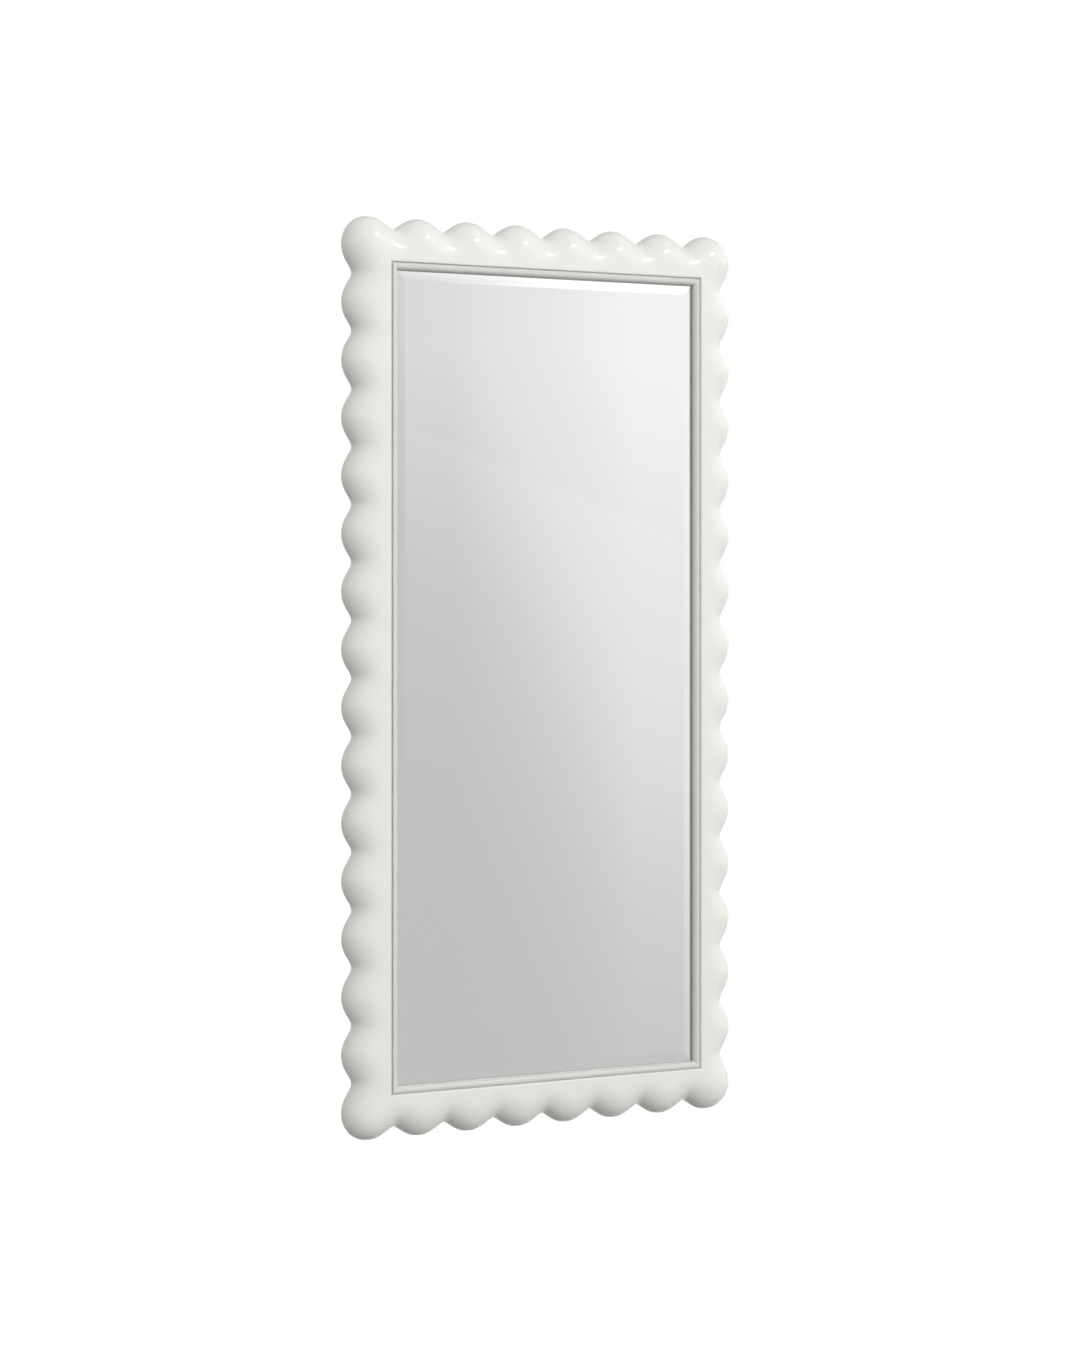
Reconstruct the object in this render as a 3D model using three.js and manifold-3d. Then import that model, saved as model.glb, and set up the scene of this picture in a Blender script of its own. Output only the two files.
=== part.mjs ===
// A full-length floor mirror in a scalloped, lacquered frame: four mitred mouldings, an inner
// bead, a bevelled mirror plate in a stepped rabbet, a screwed back panel and wall hangers.
// Units are millimetres, +Z is up and the mirror faces -Y. The origin is the middle of the
// bounding box at floor level.
import * as THREE from "three";
import { mergeVertices } from "three/addons/utils/BufferGeometryUtils.js";
import Module from "manifold-3d";

const wasm = await Module();
wasm.setup();

// ---------------------------------------------------------------- driving dimensions

// Scalloped frame. Insets are measured from the outer lines of the frame towards the glass,
// depths from the front face towards the wall.
const PITCH = 133.35; // centre to centre of two neighbouring scallops
const SCALLOPS_ACROSS = 8;
const SCALLOPS_HIGH = 16;
const WIDTH = SCALLOPS_ACROSS * PITCH;
const HEIGHT = SCALLOPS_HIGH * PITCH;
const FRAME_DEPTH = 0.375 * PITCH;
const ROUNDING = 0.5 * PITCH; // inset over which the front rounds back to the wall side
const VALLEY = 0.194 * PITCH; // depth of the valley between two scallops
const VALLEY_SOFTNESS = 0.58; // smaller is tighter in the valleys and broader on the crests
const VALLEY_OPENING = 1.1; // how fast the valleys open out from the wall side to the face
const FLOOR_FLAT = 2; // planed off the lowest scallops, so that they stand flat

// Rabbet and inner bead.
const GROOVE_INSET = 0.8 * PITCH;
const GROOVE_WIDTH = 3.6;
const GROOVE_DEPTH = 6.5;
const LEDGE_DEPTH = 8; // the bead sits on this ledge
const TONGUE_INSET = 117.4; // end of the tongue that the bead and the panel are fixed to
const SHOULDER_DEPTH = 24; // the back panel is screwed against this shoulder
const PANEL_WALL_INSET = 92;
const SIGHT_INSET = 0.94 * PITCH; // edge of the visible glass
const BEAD_EDGE_DEPTH = 12.6; // where the bead's rounding ends, at the glass side
const LIP_DEPTH = 14.2; // back of the bead's lip

// Mirror pack.
const GLASS_THICKNESS = 5;
const GLASS_UNDER_LIP = 5;
const BEVEL_WIDTH = 28;
const BEVEL_DROP = 3;
const FILM_THICKNESS = 0.5;
const FOAM_WIDTH = 12;
const PANEL_THICKNESS = 6;
const BLOCK_LENGTH = 60;
const BLOCK_DEPTH = 6;

// Hardware on the back.
const BUMPER_HEIGHT = 8;
const BUMPER_RADIUS = 12;
const PLATE_THICKNESS = 2;
const PLATE_ARM = 75;
const PLATE_WIDTH = 16;
const PLATE_INSET = 42;
const STRAP_WIDTH = 20;
const STRAP_LENGTH = 58;
const STRAP_THICKNESS = 1.5;
const RING_WIRE = 2; // radius of the ring's wire
const RING_HALF_WIDTH = 14;
const RING_ARM = 10; // straight arm between the pivot and the bow
const HANGER_INSET = 55;
const HANGER_HEIGHT = 0.78 * HEIGHT;

const GAP = 0.3; // between two pieces that touch
const MITRE_GAP = 0.2; // each mitre is cut this much short along its rail
const TOTAL_DEPTH = FRAME_DEPTH + BUMPER_HEIGHT;

// Finishes.
const LACQUER = { color: 0xe6e6df, roughness: 0.32, metalness: 0 };
const SILVERED_GLASS = { color: 0xdfe3e4, roughness: 0.03, metalness: 1 };
const FILM = { color: 0xb9bec2, roughness: 0.5, metalness: 0 };
const FOAM = { color: 0x3a3b3d, roughness: 0.95, metalness: 0 };
const RUBBER = { color: 0x2b2b2c, roughness: 0.8, metalness: 0 };
const FIBREBOARD = { color: 0x9a7a56, roughness: 0.85, metalness: 0 };
const ZINC = { color: 0xb4b6b8, roughness: 0.35, metalness: 1 };
const BEECH = { color: 0xc59b6d, roughness: 0.7, metalness: 0 };

// ---------------------------------------------------------------- geometry helpers

const radians = THREE.MathUtils.degToRad;

// A closed skin through sections of equally many points, with flat end caps. Faces that
// collapse, where neighbouring sections share points, are left out, and all faces are turned
// outwards.
function loft(sections, isLoop = false) {
  const triangles = [];
  const count = sections[0].length;
  const gaps = isLoop ? sections.length : sections.length - 1;
  for (let i = 0; i < gaps; i++) {
    const here = sections[i];
    const next = sections[(i + 1) % sections.length];
    for (let j = 0; j < count; j++) {
      const k = (j + 1) % count;
      triangles.push([here[j], next[j], here[k]], [here[k], next[j], next[k]]);
    }
  }
  if (!isLoop) {
    triangles.push(...capTriangles(sections[0]));
    triangles.push(...capTriangles(sections.at(-1)).map(([a, b, c]) => [c, b, a]));
  }
  const whole = triangles.filter(([a, b, c]) => !a.equals(b) && !b.equals(c) && !c.equals(a));
  const volume = whole.reduce((sum, [a, b, c]) => sum + a.dot(b.clone().cross(c)), 0);
  const facing = volume > 0 ? whole : whole.map(([a, b, c]) => [c, b, a]);
  return new THREE.BufferGeometry().setFromPoints(facing.flat());
}

// The triangulated outline of a loft's first section, facing away from the sections after it.
function capTriangles(section) {
  const normal = new THREE.Vector3();
  section.forEach((p, i) => {
    const q = section[(i + 1) % section.length];
    normal.add(new THREE.Vector3().crossVectors(p, q));
  });
  normal.normalize();
  const across = new THREE.Vector3().subVectors(section[1], section[0]).normalize();
  const along = new THREE.Vector3().crossVectors(normal, across);
  const flat = section.map((p) => new THREE.Vector2(p.dot(across), p.dot(along)));
  return THREE.ShapeUtils.triangulateShape(flat, []).map((corner) =>
    corner.map((index) => section[index]),
  );
}

// three.js geometry to a manifold-3d solid, and back.
function toSolid(geometry, matrix = new THREE.Matrix4()) {
  const bare = new THREE.BufferGeometry();
  const source = geometry.index ? geometry.toNonIndexed() : geometry;
  bare.setAttribute("position", source.getAttribute("position").clone());
  bare.applyMatrix4(matrix);
  const merged = mergeVertices(bare, 1e-4);
  return new wasm.Manifold(
    new wasm.Mesh({
      numProp: 3,
      vertProperties: merged.attributes.position.array,
      triVerts: new Uint32Array(merged.index.array),
    }),
  );
}

function toGeometry(solid) {
  const { vertProperties, triVerts } = solid.getMesh();
  const geometry = new THREE.BufferGeometry();
  geometry.setAttribute("position", new THREE.BufferAttribute(vertProperties, 3));
  geometry.setIndex(new THREE.BufferAttribute(triVerts, 1));
  geometry.computeVertexNormals();
  return geometry;
}

function makeMesh(name, geometry, finish, position = [0, 0, 0]) {
  const mesh = new THREE.Mesh(geometry, new THREE.MeshStandardMaterial(finish));
  mesh.name = name;
  mesh.position.set(...position);
  return mesh;
}

// Takes tools, given in the frame's own coordinates, out of a mesh that is already in place.
function carve(mesh, tools) {
  mesh.updateMatrix();
  const toLocal = mesh.matrix.clone().invert();
  let solid = toSolid(mesh.geometry);
  for (const tool of tools) solid = solid.subtract(toSolid(tool, toLocal));
  mesh.geometry = toGeometry(solid);
}

// A point of a rail: distance along the rail from its left end, depth and inset. It is held
// inside the two mitres.
function railPoint(along, depth, inset, length) {
  const low = inset + MITRE_GAP;
  const held = Math.min(Math.max(along, low), length - low);
  return new THREE.Vector3(held - length / 2, depth, inset);
}

// Sets a piece that was made along +X, with its inset towards +Z, on one of the four sides.
function placeOnSide(mesh, side) {
  const places = {
    bottom: [0, 0, 0],
    top: [0, HEIGHT, Math.PI],
    left: [-WIDTH / 2, HEIGHT / 2, Math.PI / 2],
    right: [WIDTH / 2, HEIGHT / 2, -Math.PI / 2],
  };
  const [x, z, turn] = places[side];
  mesh.position.set(x, 0, z);
  mesh.rotation.y = turn;
  return mesh;
}

const scallopsOn = (side) => (side === "left" || side === "right" ? SCALLOPS_HIGH : SCALLOPS_ACROSS);

// ---------------------------------------------------------------- scalloped mouldings

// Angles round the quarter-ellipse from the wall side (0) to the front face (90 degrees). The
// second one ends the flat planed off the scallops that stand on the floor.
const FLAT_ANGLE = Math.acos(1 - FLOOR_FLAT / ROUNDING);
const ROUNDING_ANGLES = [0, FLAT_ANGLE, ...[30, 45, 60, 75, 90].map(radians)];
const FAN_STEPS = 4;

// Turns a plain wave from 0 to 1 into a broad crest over a tight valley, and back.
const SOFTNESS = VALLEY_SOFTNESS ** 2;
const swell = (wave) => Math.log(1 + wave / SOFTNESS) / Math.log(1 + 1 / SOFTNESS);
const unswell = (height) => SOFTNESS * ((1 + 1 / SOFTNESS) ** height - 1);

// Inset of the scallops at a distance from the rail's end. Its share runs from 0 at the wall
// side to 1 at the face. As with any rounded edge, the valleys open out on the way and the
// crests draw in.
function scallopInset(along, share) {
  const wave = Math.cos((Math.PI * (along - PITCH / 2)) / PITCH) ** 2;
  const mix = Math.min(VALLEY_OPENING * share, 1);
  return VALLEY * (1 - (1 - mix) * swell(wave) - mix * (1 - swell(1 - wave)));
}

// Distances along a rail, in pitches from a scallop's centre, where sections are taken.
const FLAT_HALF = Math.acos(Math.sqrt(unswell(1 - FLOOR_FLAT / VALLEY))) / Math.PI;
const HALF_STEPS = [FLAT_HALF, 0.21, 0.31, 0.41];

function sectionPlaces(scallops) {
  const places = [];
  for (let i = 0; i < scallops - 1; i++) {
    const start = (i + 0.5) * PITCH;
    const rising = HALF_STEPS.map((step) => start + step * PITCH);
    const falling = HALF_STEPS.map((step) => start + (1 - step) * PITCH).reverse();
    places.push(start, ...rising, start + PITCH / 2, ...falling);
  }
  return [...places, (scallops - 0.5) * PITCH];
}

// The inner part of the section: front face edge, bead ledge, tongue, panel shoulder and the
// wall of the panel's recess. True marks the two points that every section needs, because a
// wavy face ends on them. The others lie on the mitres only.
const INNER_SECTION = [
  [GROOVE_INSET, 0, true],
  [GROOVE_INSET, LEDGE_DEPTH, false],
  [TONGUE_INSET, LEDGE_DEPTH, false],
  [TONGUE_INSET, SHOULDER_DEPTH, false],
  [PANEL_WALL_INSET, SHOULDER_DEPTH, false],
  [PANEL_WALL_INSET, FRAME_DEPTH, true],
];

function innerPoints(along, length) {
  const nearestEnd = along < length / 2 ? 0 : length;
  return INNER_SECTION.map(([inset, depth, everySection]) =>
    railPoint(everySection ? along : nearestEnd, depth, inset, length),
  );
}

// A section across a rail. The planed flat holds the outermost points back.
function straightSection(along, length, flat) {
  const rounding = ROUNDING_ANGLES.map((angle) => {
    const share = 1 - Math.cos(angle);
    const inset = Math.max(scallopInset(along, share) + ROUNDING * share, flat);
    return railPoint(along, FRAME_DEPTH * (1 - Math.sin(angle)), inset, length);
  });
  return [...rounding, ...innerPoints(along, length)];
}

// A section through the domed corner scallop, fanned about the dome's centre. At 45 degrees
// it lies in the mitre.
function cornerSection(fan, isFarEnd, length, flat) {
  const rounding = ROUNDING_ANGLES.map((angle) => {
    const radius = ROUNDING * Math.cos(angle);
    const fromEnd = PITCH / 2 - radius * Math.cos(fan);
    const inset = Math.max(PITCH / 2 - radius * Math.sin(fan), flat);
    const along = isFarEnd ? length - fromEnd : fromEnd;
    return railPoint(along, FRAME_DEPTH * (1 - Math.sin(angle)), inset, length);
  });
  return [...rounding, ...innerPoints(isFarEnd ? length : 0, length)];
}

function mouldingGeometry(scallops, flat) {
  const length = scallops * PITCH;
  const fans = [];
  for (let i = 0; i < FAN_STEPS; i++) fans.push(radians(45 + (45 * i) / FAN_STEPS));
  return loft([
    ...fans.map((fan) => cornerSection(fan, false, length, flat)),
    ...sectionPlaces(scallops).map((along) => straightSection(along, length, flat)),
    ...fans.reverse().map((fan) => cornerSection(fan, true, length, flat)),
  ]);
}

function makeMoulding(name, side) {
  const flat = side === "bottom" ? FLOOR_FLAT : 0;
  return placeOnSide(makeMesh(name, mouldingGeometry(scallopsOn(side), flat), LACQUER), side);
}

// ---------------------------------------------------------------- inner bead

const BEAD_START = GROOVE_INSET + GROOVE_WIDTH;
const BEAD_CROWN = 4; // flat width of the bead's crown
const BEAD_SUNK = 0.8; // depth of the crown behind the face
const BEAD_EASE = 0.8;

// Inset and depth of the bead's section: a foot on the ledge, a crown just behind the front
// face, a rounding down to the glass and a lip that laps the glass.
function beadSection() {
  const curveStart = BEAD_START + BEAD_CROWN;
  const reach = SIGHT_INSET - curveStart;
  const curve = [0, 22.5, 45, 67.5, 90].map(radians).map((angle) => [
    curveStart + reach * Math.sin(angle),
    BEAD_SUNK + (BEAD_EDGE_DEPTH - BEAD_SUNK) * (1 - Math.cos(angle)),
  ]);
  return [
    [GROOVE_INSET + GAP, LEDGE_DEPTH - GAP],
    [GROOVE_INSET + GAP, GROOVE_DEPTH],
    [BEAD_START, GROOVE_DEPTH],
    [BEAD_START, BEAD_SUNK + BEAD_EASE],
    [BEAD_START + BEAD_EASE, BEAD_SUNK],
    ...curve,
    [SIGHT_INSET, LIP_DEPTH],
    [TONGUE_INSET + GAP, LIP_DEPTH],
    [TONGUE_INSET + GAP, LEDGE_DEPTH - GAP],
  ];
}

function makeBead(name, side) {
  const length = scallopsOn(side) * PITCH;
  const ends = [0, length].map((along) =>
    beadSection().map(([inset, depth]) => railPoint(along, depth, inset, length)),
  );
  return placeOnSide(makeMesh(name, loft(ends), LACQUER), side);
}

// ---------------------------------------------------------------- mirror pack

const GLASS_INSET = SIGHT_INSET - GLASS_UNDER_LIP;
const GLASS_FRONT =
  LIP_DEPTH + GAP - (BEVEL_DROP * (BEVEL_WIDTH - GLASS_UNDER_LIP)) / BEVEL_WIDTH;
const GLASS_BACK = GLASS_FRONT + GLASS_THICKNESS;
const FILM_FRONT = GLASS_BACK + GAP;
const FOAM_FRONT = FILM_FRONT + FILM_THICKNESS + GAP;
const PANEL_FRONT = SHOULDER_DEPTH + GAP;
const PANEL_INSET = PANEL_WALL_INSET + 1;

// The four corners of an upright rectangle at one inset and depth.
function rectangle(inset, depth) {
  const x = WIDTH / 2 - inset;
  const corners = [[-x, inset], [x, inset], [x, HEIGHT - inset], [-x, HEIGHT - inset]];
  return corners.map(([cornerX, z]) => new THREE.Vector3(cornerX, depth, z));
}

function makeGlass() {
  const edgeDepth = GLASS_FRONT + BEVEL_DROP;
  const sections = [
    rectangle(GLASS_INSET, GLASS_BACK),
    rectangle(GLASS_INSET, edgeDepth),
    rectangle(GLASS_INSET + BEVEL_WIDTH, GLASS_FRONT),
  ];
  return makeMesh("mirror_glass", loft(sections), SILVERED_GLASS);
}

function makeSheet(name, inset, front, thickness, finish) {
  const sections = [rectangle(inset, front + thickness), rectangle(inset, front)];
  return makeMesh(name, loft(sections), finish);
}

// Soft strips that press the glass forward against the bead.
function makeFoamStrip(name, side) {
  const thickness = PANEL_FRONT - GAP - FOAM_FRONT;
  const inset = GLASS_INSET + 3;
  const isUpright = side === "left" || side === "right";
  const length = isUpright ? HEIGHT - 2 * inset : WIDTH - 2 * (inset + FOAM_WIDTH + 1);
  const geometry = new THREE.BoxGeometry(length, thickness, FOAM_WIDTH);
  geometry.translate(0, FOAM_FRONT + thickness / 2, inset + FOAM_WIDTH / 2);
  return placeOnSide(makeMesh(name, geometry, FOAM), side);
}

// A rubber block between the edge of the glass and the tongue.
function makeEdgeBlock(name, side, along) {
  const thickness = GLASS_INSET - TONGUE_INSET - 2 * GAP;
  const geometry = new THREE.BoxGeometry(BLOCK_LENGTH, BLOCK_DEPTH, thickness);
  const depth = LIP_DEPTH + GAP + BLOCK_DEPTH / 2;
  geometry.translate(along, depth, TONGUE_INSET + GAP + thickness / 2);
  return placeOnSide(makeMesh(name, geometry, RUBBER), side);
}

// ---------------------------------------------------------------- fasteners

// A pan-head screw along +Y, with the underside of its head at the origin.
const SCREW_SIDES = 10;

function screwGeometry({ shank, head, rise, length }) {
  const profile = [[0, -length], [shank, 2 * shank - length], [shank, 0], [head, 0]];
  profile.push([head, 0.4 * rise], [0.6 * head, rise], [0, rise]);
  const points = profile.map(([radius, along]) => new THREE.Vector2(radius, along));
  return new THREE.LatheGeometry(points, SCREW_SIDES);
}

// The hole that clears a screw's shank.
function screwHole({ shank, length }, [x, y, z]) {
  const depth = length + 2 * GAP;
  const hole = new THREE.CylinderGeometry(shank + GAP, shank + GAP, depth, SCREW_SIDES);
  return hole.translate(x, y - depth / 2 + GAP, z);
}

const PANEL_SCREW = { shank: 1.7, head: 4, rise: 2, length: 16 };
const PLATE_SCREW = { shank: 1.8, head: 3.8, rise: 1.8, length: 16 };
const HANGER_SCREW = { shank: 2.1, head: 4.2, rise: 2.2, length: 24 };

// ---------------------------------------------------------------- back panel

const PANEL_SCREW_INSET = 104;
const PANEL_BACK = PANEL_FRONT + PANEL_THICKNESS;

// Where the panel's screws go: name and place on the panel's back face.
function panelScrewPlaces() {
  const places = [];
  const sideX = WIDTH / 2 - PANEL_SCREW_INSET;
  [0.12, 0.37, 0.63, 0.88].forEach((share, i) => {
    places.push([`panel_screw_left_${i + 1}`, -sideX, share * HEIGHT]);
    places.push([`panel_screw_right_${i + 1}`, sideX, share * HEIGHT]);
  });
  places.push(["panel_screw_bottom", 0, PANEL_SCREW_INSET]);
  places.push(["panel_screw_top", 0, HEIGHT - PANEL_SCREW_INSET]);
  return places.map(([name, x, z]) => ({ name, at: [x, PANEL_BACK + GAP, z] }));
}

// ---------------------------------------------------------------- corner joints

const CORNERS = {
  bottom_left: [-1, -1],
  bottom_right: [1, -1],
  top_left: [-1, 1],
  top_right: [1, 1],
};

// Turns insets from a corner's two outer lines into the frame's X and Z.
function fromCorner([signX, signZ], insetX, insetZ) {
  const x = signX * (WIDTH / 2 - insetX);
  const z = HEIGHT / 2 + signZ * (HEIGHT / 2 - insetZ);
  return [x, z];
}

const PLATE_BACK = FRAME_DEPTH + GAP + PLATE_THICKNESS;
const PLATE_SCREW_REACH = PLATE_ARM - 12;

function plateScrewPlaces(corner) {
  const near = PLATE_INSET + PLATE_WIDTH / 2;
  const far = PLATE_INSET + PLATE_SCREW_REACH;
  return [[near, far], [far, near]].map(([insetX, insetZ]) => {
    const [x, z] = fromCorner(corner, insetX, insetZ);
    return [x, PLATE_BACK + GAP, z];
  });
}

// An L-shaped steel plate across the mitre.
function makeCornerPlate(name, corner) {
  const inner = PLATE_INSET + PLATE_WIDTH;
  const end = PLATE_INSET + PLATE_ARM;
  const outline = [
    [PLATE_INSET, PLATE_INSET],
    [end, PLATE_INSET],
    [end, inner],
    [inner, inner],
    [inner, end],
    [PLATE_INSET, end],
  ].map(([insetX, insetZ]) => fromCorner(corner, insetX, insetZ));
  const shape = new THREE.Shape(outline.map(([x, z]) => new THREE.Vector2(x, -z)));
  for (const [x, , z] of plateScrewPlaces(corner)) {
    const hole = new THREE.Path();
    hole.absarc(x, -z, PLATE_SCREW.shank + GAP, 0, 2 * Math.PI);
    shape.holes.push(hole);
  }
  const settings = { depth: PLATE_THICKNESS, bevelEnabled: false, curveSegments: 5 };
  const geometry = new THREE.ExtrudeGeometry(shape, settings);
  geometry.rotateX(-Math.PI / 2);
  geometry.translate(0, FRAME_DEPTH + GAP, 0);
  return makeMesh(name, geometry, ZINC);
}

// The oval beech biscuit glued into both sides of a mitre, and the slot that holds it.
const BISCUIT_LENGTH = 56;
const BISCUIT_WIDTH = 23;
const BISCUIT_THICKNESS = 4;
const BISCUIT_INSET = 60;
const BISCUIT_DEPTH = 0.6 * FRAME_DEPTH;

function biscuitGeometry(corner, growth) {
  const length = BISCUIT_LENGTH / 2 + growth;
  const width = BISCUIT_WIDTH / 2 + growth;
  const thickness = BISCUIT_THICKNESS + 2 * growth;
  const shape = new THREE.Shape();
  shape.absellipse(0, 0, length, width, 0, 2 * Math.PI);
  const settings = { depth: thickness, bevelEnabled: false, curveSegments: 8 };
  const geometry = new THREE.ExtrudeGeometry(shape, settings);
  geometry.translate(0, 0, -thickness / 2);
  geometry.rotateX(Math.PI / 2);
  geometry.rotateY(corner[0] === corner[1] ? -Math.PI / 4 : Math.PI / 4);
  const [x, z] = fromCorner(corner, BISCUIT_INSET, BISCUIT_INSET);
  return geometry.translate(x, BISCUIT_DEPTH, z);
}

// ---------------------------------------------------------------- hangers and bumpers

const KNUCKLE_INNER = RING_WIRE + GAP;
const KNUCKLE_OUTER = KNUCKLE_INNER + STRAP_THICKNESS;
const PIVOT_DEPTH = FRAME_DEPTH + GAP + KNUCKLE_OUTER;
const HANGER_SCREW_DROPS = [34, 50]; // below the pivot

// Steel strap whose top is curled round the ring's straight side. The side outline runs up
// the plate, round the curl and back, and is extruded across the strap's width.
function makeStrap(name, x) {
  const shape = new THREE.Shape();
  shape.moveTo(KNUCKLE_OUTER, -STRAP_LENGTH);
  shape.lineTo(KNUCKLE_OUTER, 0);
  shape.absarc(0, 0, KNUCKLE_OUTER, 0, 1.5 * Math.PI, false);
  shape.lineTo(0, -KNUCKLE_INNER);
  shape.absarc(0, 0, KNUCKLE_INNER, 1.5 * Math.PI, 0, true);
  shape.lineTo(KNUCKLE_INNER, -STRAP_LENGTH);
  const settings = { depth: STRAP_WIDTH, bevelEnabled: false, curveSegments: 12 };
  const geometry = new THREE.ExtrudeGeometry(shape, settings);
  geometry.translate(0, 0, -STRAP_WIDTH / 2);
  const towardsFrame = new THREE.Vector3(0, -1, 0);
  const up = new THREE.Vector3(0, 0, 1);
  const across = new THREE.Vector3(-1, 0, 0);
  geometry.applyMatrix4(new THREE.Matrix4().makeBasis(towardsFrame, up, across));
  return makeMesh(name, geometry, ZINC, [x, PIVOT_DEPTH, HANGER_HEIGHT]);
}

// D-shaped ring hanging from its pivot: straight side, two arms and a round bow.
function makeRing(name, x) {
  const corner = 3;
  const path = new THREE.Path();
  path.moveTo(corner - RING_HALF_WIDTH, 0);
  path.lineTo(RING_HALF_WIDTH - corner, 0);
  path.absarc(RING_HALF_WIDTH - corner, -corner, corner, Math.PI / 2, 0, true);
  path.lineTo(RING_HALF_WIDTH, -RING_ARM);
  path.absarc(0, -RING_ARM, RING_HALF_WIDTH, 0, -Math.PI, true);
  path.lineTo(-RING_HALF_WIDTH, -corner);
  path.absarc(corner - RING_HALF_WIDTH, -corner, corner, Math.PI, Math.PI / 2, true);
  const places = path.getSpacedPoints(36).slice(0, -1);
  const sections = places.map((point, i) => {
    const ahead = places[(i + 1) % places.length];
    const behind = places[(i + places.length - 1) % places.length];
    const outward = new THREE.Vector2(behind.y - ahead.y, ahead.x - behind.x).normalize();
    return wireSection(point, outward);
  });
  return makeMesh(name, loft(sections, true), ZINC, [x, PIVOT_DEPTH, HANGER_HEIGHT]);
}

function wireSection(point, outward) {
  const sides = 8;
  const section = [];
  for (let i = 0; i < sides; i++) {
    const angle = (2 * Math.PI * i) / sides;
    const reach = RING_WIRE * Math.cos(angle);
    section.push(
      new THREE.Vector3(
        point.x + reach * outward.x,
        RING_WIRE * Math.sin(angle),
        point.y + reach * outward.y,
      ),
    );
  }
  return section;
}

function hangerScrewPlaces(x) {
  const depth = FRAME_DEPTH + 2 * GAP + STRAP_THICKNESS;
  return HANGER_SCREW_DROPS.map((drop) => [x, depth, HANGER_HEIGHT - drop]);
}

// A rubber button that keeps the frame off the wall.
function makeBumper(name, x, z) {
  const ease = 1.5;
  const profile = [
    [0, GAP],
    [BUMPER_RADIUS, GAP],
    [BUMPER_RADIUS, BUMPER_HEIGHT - ease],
    [BUMPER_RADIUS - ease, BUMPER_HEIGHT],
    [0, BUMPER_HEIGHT],
  ].map(([radius, height]) => new THREE.Vector2(radius, height));
  return makeMesh(name, new THREE.LatheGeometry(profile, 16), RUBBER, [x, FRAME_DEPTH, z]);
}

// ---------------------------------------------------------------- assembly

// Adds the screws of one group and returns the holes they need.
function addScrews(frame, geometrySize, places, nameOf) {
  return places.map((at, i) => {
    frame.add(makeMesh(nameOf(i), screwGeometry(geometrySize), ZINC, at));
    return screwHole(geometrySize, at);
  });
}

function buildFrame(frame) {
  const mouldings = {
    bottom: makeMoulding("bottom_rail", "bottom"),
    top: makeMoulding("top_rail", "top"),
    left: makeMoulding("left_stile", "left"),
    right: makeMoulding("right_stile", "right"),
  };
  for (const side of Object.keys(mouldings)) {
    frame.add(mouldings[side], makeBead(`${side}_bead`, side));
  }
  return mouldings;
}

function buildMirrorPack(frame) {
  const filmInset = GLASS_INSET + 1;
  frame.add(makeGlass());
  frame.add(makeSheet("safety_film", filmInset, FILM_FRONT, FILM_THICKNESS, FILM));
  for (const side of ["left", "right", "top", "bottom"]) {
    frame.add(makeFoamStrip(`foam_strip_${side}`, side));
  }
  frame.add(makeEdgeBlock("setting_block_left", "bottom", -WIDTH / 5));
  frame.add(makeEdgeBlock("setting_block_right", "bottom", WIDTH / 5));
  frame.add(makeEdgeBlock("side_spacer_left", "left", 0));
  frame.add(makeEdgeBlock("side_spacer_right", "right", 0));
}

function buildBackPanel(frame, mouldings) {
  const panel = makeSheet("back_panel", PANEL_INSET, PANEL_FRONT, PANEL_THICKNESS, FIBREBOARD);
  const places = panelScrewPlaces();
  const holes = addScrews(frame, PANEL_SCREW, places.map((p) => p.at), (i) => places[i].name);
  carve(panel, holes);
  for (const side of Object.keys(mouldings)) {
    carve(mouldings[side], holes.filter((_, i) => places[i].name.includes(side)));
  }
  frame.add(panel);
}

function buildCornerJoints(frame, mouldings) {
  for (const [name, corner] of Object.entries(CORNERS)) {
    frame.add(makeCornerPlate(`corner_plate_${name}`, corner));
    frame.add(makeMesh(`mitre_biscuit_${name}`, biscuitGeometry(corner, 0), BEECH));
    const places = plateScrewPlaces(corner);
    const holes = addScrews(frame, PLATE_SCREW, places, (i) => `plate_screw_${name}_${i + 1}`);
    const slot = biscuitGeometry(corner, GAP);
    const [level, side] = name.split("_");
    carve(mouldings[side], [slot, holes[0]]);
    carve(mouldings[level], [slot, holes[1]]);
  }
}

function buildHangers(frame, mouldings) {
  for (const [side, sign] of [["left", -1], ["right", 1]]) {
    const x = sign * (WIDTH / 2 - HANGER_INSET);
    const strap = makeStrap(`hanger_strap_${side}`, x);
    const nameOf = (i) => `hanger_screw_${side}_${i + 1}`;
    const holes = addScrews(frame, HANGER_SCREW, hangerScrewPlaces(x), nameOf);
    carve(strap, holes);
    carve(mouldings[side], holes);
    frame.add(strap, makeRing(`hanger_ring_${side}`, x));
  }
}

function buildBumpers(frame) {
  const inset = 50;
  const fromEnd = 1.5 * PITCH;
  for (const [side, sign] of [["left", -1], ["right", 1]]) {
    const x = sign * (WIDTH / 2 - inset);
    frame.add(makeBumper(`wall_bumper_bottom_${side}`, x, fromEnd));
    frame.add(makeBumper(`wall_bumper_top_${side}`, x, HEIGHT - fromEnd));
  }
}

const mirror = new THREE.Group();
const frame = new THREE.Group();
frame.position.set(0, -TOTAL_DEPTH / 2, -FLOOR_FLAT);
mirror.add(frame);
const mouldings = buildFrame(frame);
buildMirrorPack(frame);
buildBackPanel(frame, mouldings);
buildCornerJoints(frame, mouldings);
buildHangers(frame, mouldings);
buildBumpers(frame);

export default mirror;
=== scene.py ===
"""Full-length mirror in a scalloped lacquered frame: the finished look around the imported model.

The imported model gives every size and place. This script makes the visible pieces finely
(mouldings, inner beads, bevelled plate, hangers, plates, screws, wall buttons), dresses the
hidden ones, and sets up a plain pale studio. Lengths are metres, +Z is up and the mirror
faces -Y.
"""

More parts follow.
